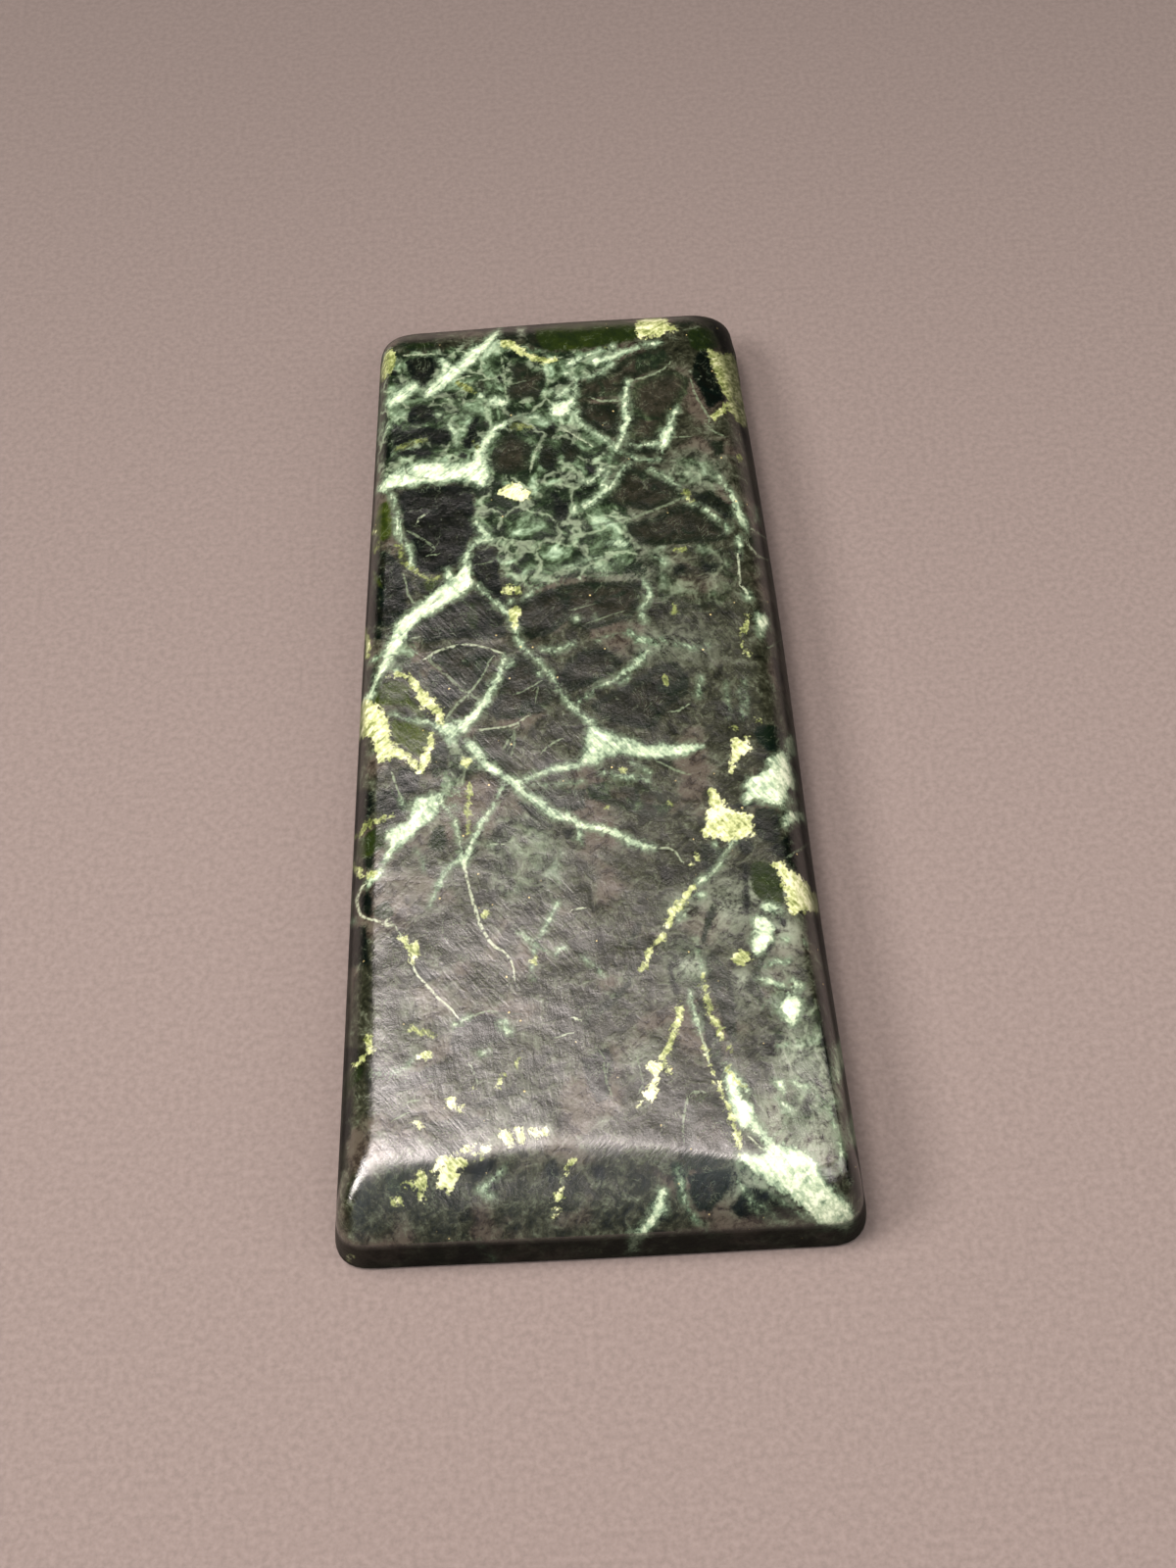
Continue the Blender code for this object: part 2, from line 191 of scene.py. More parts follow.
DARK_AREAS += [
    # Middle.
    (0.2, [(-11.5, 2.9), (-10.7, 3.0), (-10.6, 1.9), (-11.4, 1.8)]),
    (0.1, [(-11.2, 5.7), (-10.3, 5.6), (-10.3, 4.9), (-11.2, 4.9)]),
    (0.6, [(-7.9, 3.5), (-7.2, 3.8), (-6.6, 4.1), (-5.9, 4.2), (-5.3, 4.1), (-4.6, 3.8),
           (-4.1, 3.5), (-4.4, 2.8), (-4.8, 2.0), (-5.3, 1.3), (-5.7, 1.1), (-6.4, 1.9),
           (-7.1, 2.8), (-7.6, 3.2)]),
    (0.3, [(-7.8, 2.8), (-7.4, 2.6), (-6.9, 2.0), (-6.3, 1.4), (-5.9, 1.0), (-6.4, 0.5),
           (-6.8, -0.1), (-7.0, -0.4), (-7.3, 0.5), (-7.7, 1.2), (-7.9, 2.0)]),
    (0.4, [(-5.2, 1.1), (-4.9, 1.7), (-4.5, 1.5), (-4.8, 0.9), (-5.2, 0.6)]),
    (0.4, [(-6.4, -0.4), (-5.9, 0.4), (-5.2, 0.3), (-5.8, -0.3), (-6.4, -0.7)]),
    (0.3, [(-8.75, 3.3), (-8.5, 3.2), (-8.0, 1.9), (-8.3, 1.8)]),
    (0.6, [(-3.2, 3.4), (-2.4, 3.2), (-1.7, 2.2), (-1.2, 1.2), (-1.0, 0.2), (-1.8, -0.6),
           (-3.0, -0.9), (-4.2, -1.0), (-4.4, -0.2), (-4.0, 0.9), (-3.6, 2.2)]),
    (0.5, [(0.8, 3.4), (2.0, 3.4), (2.9, 2.4), (2.2, 1.6), (1.0, 1.0), (-0.2, 0.6),
           (-0.6, 1.6), (-0.2, 2.8)]),
    (0.5, [(0.8, -0.4), (2.2, 0.6), (3.6, 1.2), (4.6, 2.0), (5.8, 2.2), (6.4, 1.2),
           (6.3, 0.0), (5.2, -0.6), (4.2, -2.2), (2.8, -1.8), (1.6, -1.2)]),
    (0.2, [(11.2, 2.5), (11.5, 1.8), (11.8, 1.0), (11.6, 0.3), (11.3, 0.4), (11.1, 1.2)]),
    (0.6, [(-7.4, -2.0), (-6.9, -2.2), (-6.7, -2.9), (-6.9, -3.7), (-7.5, -4.5), (-7.8, -3.7),
           (-7.7, -2.9)]),
    (0.8, [(-5.2, -1.6), (-4.4, -1.5), (-3.5, -1.4), (-3.2, -1.7), (-3.3, -2.6), (-3.6, -3.5),
           (-3.7, -4.0), (-4.3, -3.8), (-4.9, -3.0), (-5.3, -2.2)]),
    (0.2, [(-9.4, -3.6), (-8.7, -3.6), (-8.4, -4.1), (-8.4, -5.0), (-9.0, -5.4), (-9.3, -4.9),
           (-9.6, -4.2)]),
    (0.2, [(-10.7, -1.9), (-10.4, -1.9), (-10.4, -2.3), (-10.7, -2.3)]),
    (0.2, [(-11.7, -1.4), (-11.4, -1.4), (-11.4, -1.8), (-11.7, -1.8)]),
    (0.5, [(4.5, -4.1), (5.2, -4.1), (5.0, -4.4), (4.6, -4.4)]),
    (0.0, [(11.7, -4.4), (12.2, -4.4), (12.2, -6.0), (11.7, -6.0)]),
    (0.6, [(-3.0, -5.4), (-0.8, -5.5), (0.5, -5.6), (0.4, -6.8), (-0.6, -7.0), (-1.6, -6.2)]),
    (0.9, [(0.5, -5.3), (2.0, -5.2), (3.2, -5.6), (4.3, -5.7), (4.5, -6.3), (5.0, -7.0),
           (4.6, -7.5), (3.8, -7.6), (3.0, -7.3), (1.5, -6.6), (0.5, -6.2)]),
    # Near half, left.
    (0.0, [(-12.2, -4.8), (-10.8, -5.0), (-10.8, -6.2), (-11.3, -6.8), (-12.2, -7.6)]),
    (0.3, [(-9.3, -5.0), (-9.0, -5.8), (-9.1, -6.6), (-9.9, -6.5), (-10.3, -6.4), (-10.7, -6.3),
           (-10.7, -5.0)]),
    (0.1, [(-11.2, -8.9), (-10.8, -8.9), (-10.8, -9.7), (-11.2, -9.8), (-11.6, -9.2)]),
    (0.2, [(-10.3, -8.4), (-10.05, -8.4), (-10.2, -8.85)]),
    (0.0, [(-11.3, -11.0), (-11.1, -11.0), (-10.9, -11.5), (-10.9, -12.4), (-11.2, -12.6),
           (-11.6, -12.2), (-11.7, -11.5)]),
    (0.0, [(-12.3, -10.0), (-11.6, -10.1), (-11.4, -10.4), (-11.7, -10.9), (-12.3, -11.0)]),
    (0.0, [(-12.8, -13.0), (-11.2, -13.1), (-11.1, -15.3), (-12.8, -15.5)]),
    # Painted shadow: a dark band just below the long pale vein.
    (0.5, [(-3.3, -5.9), (-2.7, -6.3), (-1.9, -7.0), (-1.3, -7.8), (-1.5, -8.0), (-2.2, -7.3),
           (-3.0, -6.6)]),
    (0.5, [(-0.9, -8.1), (-0.25, -8.0), (-0.2, -8.6), (-0.7, -8.5)]),
    (0.6, [(-8.4, -15.0), (-8.2, -15.6), (-7.7, -16.0), (-7.5, -16.3), (-8.0, -16.5),
           (-8.4, -16.2), (-8.6, -15.7)]),
    (0.3, [(-9.9, -13.6), (-9.6, -13.9), (-9.5, -14.5), (-9.9, -14.4)]),
    (0.5, [(-9.9, -9.4), (-9.7, -9.5), (-9.7, -9.9), (-10.0, -9.8)]),
    (0.4, [(-6.8, -19.3), (-6.2, -18.95), (-5.6, -18.65), (-5.0, -18.6), (-4.6, -18.9),
           (-4.4, -19.4), (-4.1, -19.8), (-3.8, -20.0), (-4.7, -20.2), (-5.4, -20.4),
           (-6.2, -20.5), (-6.9, -20.5), (-7.0, -20.0)]),
    (0.4, [(-10.5, -22.3), (-9.5, -21.9), (-8.6, -21.5), (-7.8, -21.1), (-7.0, -21.2),
           (-6.6, -21.2), (-7.5, -21.7), (-8.3, -22.2), (-9.5, -22.5), (-10.4, -22.6)]),
    (0.6, [(-5.9, -23.5), (-5.0, -23.1), (-4.2, -22.8), (-3.6, -22.75), (-4.2, -23.1),
           (-5.0, -23.4), (-5.8, -23.8)]),
    (0.6, [(-3.4, -21.3), (-2.6, -21.1), (-2.0, -20.75), (-1.5, -20.5), (-1.9, -21.0),
           (-2.5, -21.35), (-3.3, -21.5)]),
    (0.7, [(-8.4, -24.3), (-7.0, -24.2), (-5.4, -24.2), (-4.8, -24.5), (-6.2, -24.8),
           (-7.6, -25.0), (-8.2, -24.8)]),
    (0.9, [(-10.3, -26.3), (-9.6, -26.1), (-9.0, -25.9), (-8.5, -25.9), (-8.3, -26.3),
           (-8.8, -26.7), (-9.2, -27.0), (-9.6, -27.4), (-9.5, -27.9), (-10.2, -27.8),
           (-10.4, -27.0)]),
    (0.8, [(-8.2, -25.3), (-7.0, -25.5), (-5.4, -25.5), (-5.9, -26.3), (-6.3, -26.2),
           (-7.2, -26.1), (-8.2, -26.2)]),
    (0.1, [(-6.0, -26.6), (-5.5, -26.5), (-4.9, -26.4), (-5.0, -27.0), (-5.5, -27.3),
           (-6.1, -27.6)]),
    (0.0, [(-7.0, -30.5), (-6.1, -30.6), (-5.8, -31.4), (-7.2, -31.5)]),
    (0.0, [(-12.6, -22.6), (-12.0, -22.9), (-12.1, -24.9), (-12.7, -25.2)]),
    (0.1, [(-12.8, -19.9), (-11.7, -20.0), (-11.7, -20.8), (-12.8, -21.4)]),
    (0.1, [(-2.6, -26.8), (-2.0, -26.6), (-1.8, -27.6), (-2.4, -28.0)]),
    # Near half, right.
    (0.5, [(6.2, -9.4), (6.6, -9.3), (7.0, -9.7), (7.5, -9.6), (7.7, -9.5), (7.5, -10.0),
           (7.2, -10.4), (7.0, -10.8), (6.8, -11.1), (6.5, -11.2), (6.3, -10.8), (6.4, -10.2),
           (6.2, -9.9)]),
    (0.1, [(7.9, -7.1), (9.0, -7.0), (9.4, -6.8), (9.6, -7.1), (9.0, -7.35), (8.3, -7.4)]),
    (0.4, [(9.3, -7.3), (10.3, -7.4), (10.6, -7.9), (10.5, -9.0), (10.3, -9.6), (9.6, -9.5),
           (9.2, -8.8), (9.25, -7.8)]),
    (0.0, [(11.1, -8.9), (11.8, -8.5), (12.3, -8.5), (12.3, -12.5), (11.7, -12.0),
           (11.3, -11.5), (10.9, -11.0), (10.5, -10.5), (10.0, -10.2), (9.9, -9.8),
           (10.6, -9.3)]),
    (0.2, [(8.2, -9.4), (9.0, -9.2), (9.1, -9.9), (8.6, -10.2), (8.3, -9.9)]),
    (0.2, [(8.4, -10.7), (8.65, -10.7), (8.55, -13.8), (8.2, -13.8)]),
    (0.7, [(9.5, -15.2), (9.8, -15.1), (9.5, -15.8), (9.1, -16.3), (8.8, -17.0), (8.6, -17.5),
           (8.3, -17.5), (8.4, -16.9), (8.9, -16.1)]),
    (0.2, [(11.4, -14.0), (12.2, -13.9), (12.6, -14.5), (12.6, -16.4), (11.9, -16.0),
           (11.4, -15.2)]),
    (0.3, [(9.9, -13.9), (10.5, -14.1), (10.4, -14.6), (10.0, -14.4)]),
    (0.7, [(2.9, -13.8), (2.65, -13.9), (2.3, -14.7), (2.1, -15.2), (2.4, -15.1), (2.8, -14.5)]),
    (0.2, [(4.1, -16.4), (4.35, -16.4), (4.55, -17.6), (4.6, -18.3), (4.3, -18.0), (4.15, -17.2)]),
    (0.8, [(6.0, -16.0), (6.5, -15.8), (6.9, -16.4), (7.2, -17.2), (7.4, -18.0), (7.4, -19.0),
           (7.3, -20.5), (7.1, -21.0), (6.8, -20.5), (6.6, -19.6), (6.5, -18.8), (6.3, -18.0),
           (6.1, -17.2)]),
    (0.7, [(5.4, -18.6), (5.8, -18.4), (5.9, -19.0), (6.1, -19.8), (6.4, -20.6), (6.6, -21.3),
           (6.5, -22.0), (6.5, -22.8), (6.4, -23.4), (6.1, -22.7), (5.9, -22.0), (5.8, -21.0),
           (5.6, -20.2), (5.5, -19.4)]),
    (0.8, [(4.8, -24.1), (5.2, -23.6), (6.0, -23.7), (6.3, -24.2), (6.6, -25.0), (6.8, -26.0),
           (6.8, -26.8), (6.6, -27.0), (5.5, -27.4), (4.8, -27.6), (4.3, -27.6), (4.3, -26.6),
           (4.4, -25.5), (4.6, -24.6)]),
    # Painted shade: the lower end of the clast above, where it runs over the near crest.
    (0.0, [(4.3, -26.3), (5.2, -26.0), (5.9, -26.2), (5.8, -27.1), (4.8, -27.5), (4.3, -27.5)]),
    (0.4, [(4.4, -27.8), (6.5, -27.5), (6.4, -28.6), (5.5, -29.7), (4.8, -29.7), (4.4, -29.0)]),
    (0.7, [(8.3, -17.2), (8.6, -17.6), (8.9, -18.3), (8.6, -18.9), (8.2, -18.4), (7.9, -17.8)]),
    (0.8, [(9.1, -20.2), (9.6, -20.2), (9.7, -20.9), (9.3, -21.1), (9.1, -20.8)]),
    (0.1, [(11.6, -17.6), (12.1, -17.8), (12.2, -20.6), (11.9, -22.8), (11.7, -24.0),
           (11.5, -21.6)]),
    (0.0, [(12.1, -27.0), (13.4, -26.9), (13.4, -29.2), (12.6, -29.4), (12.2, -28.8),
           (12.0, -28.0)]),
    (0.3, [(-0.5, -21.4), (0.0, -21.2), (0.3, -20.9), (0.9, -20.8), (1.1, -21.6), (0.9, -22.6),
           (0.8, -23.6), (0.2, -23.8), (-0.1, -23.2), (-0.4, -22.4)]),
    (0.0, [(-0.2, -27.2), (0.3, -27.1), (0.4, -27.7), (-0.1, -27.9)]),
    (0.3, [(7.0, -28.7), (7.5, -28.5), (8.6, -29.0), (9.3, -29.6), (9.8, -30.2), (8.5, -30.3),
           (7.5, -30.2), (6.8, -30.1), (6.4, -29.6)]),
]

# The tone of an olive area runs from 0, dark teal, to 1, yellow olive.
OLIVE_AREAS = [
    (0.6, [(-1.2, 27.4), (5.0, 27.4), (5.2, 25.6), (3.0, 25.3), (0.0, 25.0), (-0.8, 25.4)]),
    (0.5, [(8.0, 26.3), (9.6, 26.4), (10.0, 24.9), (9.4, 24.4), (8.2, 24.5)]),
    (0.4, [(-9.0, 26.4), (-7.1, 26.4), (-7.1, 25.9), (-8.9, 25.9)]),
    (0.8, [(-10.6, 14.3), (-9.9, 14.6), (-9.7, 13.0), (-9.8, 12.0), (-10.3, 11.5),
           (-10.9, 12.5)]),
    (0.7, [(-7.9, 8.9), (-7.2, 8.9), (-7.0, 8.6), (-7.3, 8.1), (-7.7, 7.9), (-8.0, 8.4)]),
    (0.7, [(-10.95, 9.8), (-10.6, 9.2), (-10.2, 8.3), (-10.5, 8.5), (-10.9, 9.2)]),
    (0.2, [(10.5, 10.9), (11.4, 10.4), (11.6, 9.2), (10.9, 9.3), (10.4, 10.1)]),
    (0.8, [(-10.9, 0.5), (-10.3, 1.7), (-9.9, 2.1), (-9.3, 2.0), (-8.9, 1.6), (-8.8, 0.9),
           (-8.5, 0.3), (-8.1, -0.2), (-7.9, -0.6), (-8.6, -0.2), (-9.0, 0.3), (-9.6, 0.5),
           (-10.2, 0.5)]),
    (0.9, [(-9.9, -0.4), (-9.3, -0.6), (-8.6, -0.9), (-8.0, -1.2), (-7.7, -1.6), (-7.8, -2.0),
           (-8.1, -2.6), (-8.3, -3.1), (-8.7, -2.8), (-9.2, -2.3), (-9.7, -1.8), (-9.9, -1.2)]),
    (0.1, [(9.6, -2.2), (11.3, -2.2), (11.3, -3.8), (10.4, -4.0), (9.7, -3.2)]),
    (0.5, [(-5.55, 6.9), (-5.05, 6.9), (-5.0, 5.2), (-5.5, 5.2)]),
    (0.6, [(-11.9, -7.9), (-10.4, -7.1), (-10.0, -8.2), (-10.8, -8.9), (-11.6, -9.1),
           (-12.0, -8.6)]),
    (0.5, [(-10.8, -12.0), (-10.0, -11.6), (-9.8, -12.6), (-10.4, -12.9), (-10.9, -12.6)]),
    (0.4, [(-7.8, -7.6), (-7.2, -7.2), (-6.9, -8.2), (-7.2, -9.0), (-8.0, -8.8)]),
    (0.6, [(8.9, -10.6), (9.8, -10.7), (10.2, -11.3), (10.4, -12.4), (10.4, -13.3),
           (10.0, -13.5), (9.2, -13.0), (8.8, -12.5), (8.7, -11.5)]),
    (0.4, [(6.5, -12.9), (6.9, -12.8), (6.7, -13.8), (6.4, -14.5), (6.1, -15.3), (5.85, -15.2),
           (6.0, -14.4), (6.3, -13.6)]),
    (0.5, [(-13.0, -22.6), (-12.3, -21.6), (-11.6, -20.9), (-11.4, -21.4), (-12.0, -22.2),
           (-12.6, -23.0)]),
    (0.3, [(0.2, -18.6), (1.5, -17.8), (2.4, -16.6), (2.2, -17.4), (1.4, -18.4), (0.4, -19.1)]),
    (0.2, [(11.0, -6.1), (11.5, -6.3), (11.6, -6.9), (11.1, -6.7)]),
    (0.3, [(3.6, -27.0), (4.25, -27.2), (4.3, -28.6), (4.4, -29.4), (3.9, -29.2), (3.7, -28.2)]),
    (0.3, [(-8.5, -30.4), (-7.9, -30.3), (-7.7, -31.5), (-8.6, -31.5)]),
]

# The tone of a mint area is how far it hides the ground.
MINT_AREAS = [
    (1.0, [(-10.8, 27.2), (-9.3, 25.5), (-7.0, 25.6), (-3.0, 26.2), (0.0, 25.0), (3.0, 25.0),
           (4.5, 25.2), (2.8, 23.0), (1.2, 22.8), (1.2, 20.0), (3.2, 17.8), (3.6, 16.6),
           (2.8, 15.0), (4.0, 12.5), (3.9, 10.2), (4.8, 8.0), (1.8, 8.6), (-1.5, 8.0),
           (-3.0, 8.0), (-3.6, 9.0), (-3.8, 10.8), (-5.1, 11.0), (-5.1, 15.6), (-9.6, 15.6),
           (-10.9, 17.0)]),
    (0.55, [(6.5, 16.4), (9.2, 16.2), (9.0, 14.2), (7.2, 14.3), (6.4, 15.0)]),
    (0.8, [(-10.2, 4.2), (-9.3, 5.6), (-8.2, 5.4), (-8.5, 4.6), (-8.7, 4.0), (-8.9, 3.4),
           (-8.8, 2.8), (-9.6, 2.5), (-10.1, 2.8)]),
    (0.8, [(-7.0, -1.0), (-6.0, -1.0), (-5.9, -2.2), (-5.3, -2.8), (-4.9, -3.4), (-5.3, -3.9),
           (-6.0, -4.8), (-6.8, -5.6), (-7.2, -5.0), (-7.0, -4.3), (-6.7, -3.4), (-6.8, -2.4)]),
    (0.35, [(4.2, 10.2), (9.2, 10.2), (9.4, 6.0), (6.0, 5.4), (4.8, 6.8), (4.6, 8.6)]),
    (0.35, [(4.0, -15.0), (4.6, -14.6), (5.2, -14.4), (5.8, -15.0), (5.9, -15.6), (6.0, -16.5),
            (5.9, -17.5), (5.6, -18.5), (5.0, -18.5), (4.5, -17.5), (4.2, -16.5), (4.0, -15.6)]),
    (0.3, [(-0.2, -18.7), (0.8, -17.9), (1.6, -17.0), (2.3, -16.2), (2.1, -16.9), (1.4, -17.9),
           (0.4, -18.8), (-0.2, -19.4)]),
    (0.5, [(9.0, -17.8), (11.4, -18.2), (11.5, -21.5), (11.3, -23.6), (10.4, -23.4),
           (9.8, -22.0), (10.3, -20.4), (9.0, -19.4)]),
    (0.6, [(9.6, -24.0), (10.4, -23.8), (11.2, -24.3), (11.6, -24.6), (11.2, -25.1),
           (10.4, -25.3), (10.2, -26.2), (9.4, -26.4), (8.8, -25.8), (9.4, -25.0)]),
    (0.3, [(-4.5, -7.4), (-3.0, -6.8), (-1.8, -7.8), (-0.8, -9.4), (-1.0, -11.4), (-2.4, -12.4),
           (-4.4, -11.6), (-5.0, -9.6)]),
]

# The tone of a pale marking runs from 0, grey green, to 1, white.
PALE_AREAS = [
    (1.0, [(-0.4, 20.9), (0.0, 21.2), (0.6, 21.3), (1.0, 21.7), (1.1, 21.1), (0.8, 20.2),
           (0.3, 20.0), (-0.3, 20.0), (-0.5, 20.4)]),
    (0.9, [(-10.9, 15.3), (-10.2, 16.2), (-9.4, 16.8), (-8.9, 17.1), (-7.9, 17.2), (-6.5, 17.1),
           (-5.2, 17.0), (-4.3, 17.3), (-4.0, 16.4), (-4.1, 15.4), (-4.5, 15.0), (-5.0, 15.5),
           (-6.0, 15.7), (-7.0, 15.6), (-8.5, 15.5), (-9.7, 15.4), (-10.4, 15.1)]),
    (0.5, [(2.0, 10.8), (3.2, 10.9), (3.6, 10.6), (4.1, 10.2), (3.2, 10.1), (2.6, 10.4),
           (2.1, 10.6)]),
    (1.0, [(10.4, 5.3), (11.1, 5.1), (11.2, 4.7), (11.1, 4.1), (10.7, 3.9), (10.6, 3.4),
           (10.4, 4.2), (10.4, 4.7)]),
    (0.75, [(0.9, -1.3), (1.4, -1.8), (2.0, -2.1), (2.6, -2.4), (3.2, -2.7), (3.7, -3.0),
            (4.5, -3.0), (5.3, -3.1), (6.5, -3.1), (7.0, -3.3), (6.4, -3.6), (5.8, -3.9),
            (4.6, -3.9), (3.6, -3.9), (3.0, -3.7), (2.4, -3.5), (1.5, -3.7), (1.3, -4.2),
            (0.5, -4.1), (-0.2, -4.2), (0.3, -3.7), (0.5, -2.9), (0.6, -2.2)]),
    (1.0, [(10.2, -4.2), (10.8, -4.0), (11.4, -3.7), (11.6, -5.0), (11.8, -6.0), (11.5, -6.4),
           (11.3, -6.2), (11.1, -6.8), (10.8, -7.1), (10.3, -7.3), (9.9, -7.1), (9.5, -6.8),
           (9.3, -6.8), (9.0, -7.0), (8.7, -7.0), (8.8, -6.6), (8.9, -6.2), (8.9, -5.8),
           (9.1, -5.4), (9.8, -5.2), (10.3, -4.9), (10.2, -4.5)]),
    (0.8, [(11.4, -3.0), (11.9, -2.7), (12.2, -4.1), (11.6, -4.3), (11.3, -3.7)]),
    (0.95, [(10.7, -7.7), (11.0, -7.6), (11.5, -7.6), (11.9, -7.6), (12.2, -7.9), (12.2, -8.3),
            (11.7, -8.2), (11.3, -8.3), (11.0, -8.7), (10.8, -8.5), (10.7, -8.1)]),
    (0.85, [(-8.8, -5.7), (-8.3, -5.5), (-7.9, -5.5), (-7.6, -5.3), (-7.3, -5.6), (-7.2, -6.0),
            (-7.4, -6.6), (-7.6, -6.9), (-8.1, -7.3), (-8.6, -7.8), (-9.2, -8.4), (-9.8, -8.9),
            (-10.1, -9.3), (-10.3, -9.8), (-10.5, -9.6), (-10.4, -9.1), (-10.1, -8.7),
            (-10.0, -8.2), (-10.15, -7.7), (-9.9, -7.3), (-9.4, -7.1), (-9.0, -6.9),
            (-8.9, -6.4)]),
    (0.9, [(9.1, -13.3), (9.3, -13.1), (9.8, -13.1), (10.1, -13.4), (10.3, -13.8), (10.0, -13.9),
           (9.6, -13.7), (9.2, -13.6)]),
    (1.0, [(8.6, -13.9), (9.0, -13.8), (9.5, -14.0), (9.7, -14.3), (9.9, -14.6), (9.6, -14.8),
           (9.6, -15.3), (9.3, -15.7), (9.0, -16.0), (8.7, -16.1), (8.5, -15.8), (8.5, -15.3),
           (8.7, -14.9), (8.7, -14.4)]),
    (0.6, [(9.9, -15.1), (10.4, -15.1), (10.4, -15.5), (10.0, -15.5)]),
    (0.6, [(11.0, -15.3), (11.3, -15.3), (11.3, -15.8), (11.1, -15.8)]),
    (1.0, [(9.6, -19.0), (9.9, -18.6), (10.1, -18.1), (10.3, -18.5), (10.7, -18.8),
           (10.7, -19.3), (10.5, -19.8), (10.2, -20.2), (9.9, -20.0), (9.7, -19.5)]),
    (1.0, [(10.2, -17.6), (10.5, -17.5), (10.9, -18.0), (10.7, -18.3), (10.4, -18.0)]),
    (0.9, [(12.0, -22.9), (12.1, -21.6), (12.4, -21.0), (12.9, -20.7), (13.1, -22.4),
           (12.6, -22.6), (12.4, -23.2), (12.1, -23.6)]),
    (1.0, [(12.5, -25.3), (12.7, -25.0), (12.95, -24.9), (13.3, -25.8), (13.3, -26.7),
           (12.5, -26.8), (12.3, -26.5), (12.5, -26.2), (12.4, -25.7)]),
    (0.7, [(-4.6, -18.9), (-4.2, -18.8), (-4.0, -19.3), (-3.8, -19.8), (-4.2, -19.8),
           (-4.5, -19.4)]),
    (0.9, [(-4.4, -26.85), (-4.7, -26.9), (-5.0, -27.3), (-5.4, -27.6), (-5.9, -27.8),
           (-6.0, -28.0), (-5.6, -28.2), (-5.2, -28.4), (-5.15, -28.2), (-5.4, -28.0),
           (-5.0, -27.5), (-4.7, -27.2)]),
    (0.9, [(1.2, -31.0), (1.4, -30.6), (1.9, -30.3), (2.3, -29.9), (2.5, -29.6), (2.4, -29.3),
           (2.8, -29.0), (2.9, -28.6), (3.1, -28.3), (3.3, -28.4), (3.2, -29.0), (3.4, -29.5),
           (3.3, -29.8), (2.8, -29.9), (2.6, -30.2), (2.3, -30.7), (1.9, -30.9), (1.8, -31.3),
           (1.3, -31.5)]),
    # The fan that spreads over the near right corner.
    (1.0, [(6.5, -22.0), (6.8, -22.0), (7.1, -22.6), (7.4, -22.9), (7.6, -23.2), (7.8, -23.7),
           (7.6, -23.8), (7.3, -23.3), (7.2, -23.6), (7.5, -24.1), (7.9, -24.3), (7.8, -24.7),
           (7.9, -25.1), (8.2, -25.6), (8.5, -26.1), (8.9, -26.5), (9.3, -26.6), (9.9, -26.7),
           (10.4, -27.2), (10.7, -27.7), (10.9, -28.3), (11.2, -28.8), (11.6, -29.2),
           (12.1, -29.6), (12.4, -30.0), (12.5, -30.5), (12.3, -31.0), (11.6, -30.9),
           (11.0, -30.8), (10.3, -30.3), (9.6, -29.6), (9.2, -29.2), (8.6, -28.8), (8.0, -28.3),
           (7.4, -27.7), (6.9, -27.2), (6.7, -26.9), (7.3, -26.9), (7.9, -27.0), (8.2, -26.9),
           (8.2, -26.5), (7.9, -26.0), (7.5, -25.5), (7.2, -25.7), (6.9, -25.2), (6.7, -24.5),
           (6.5, -23.9), (6.6, -23.2), (6.5, -22.6)]),
]
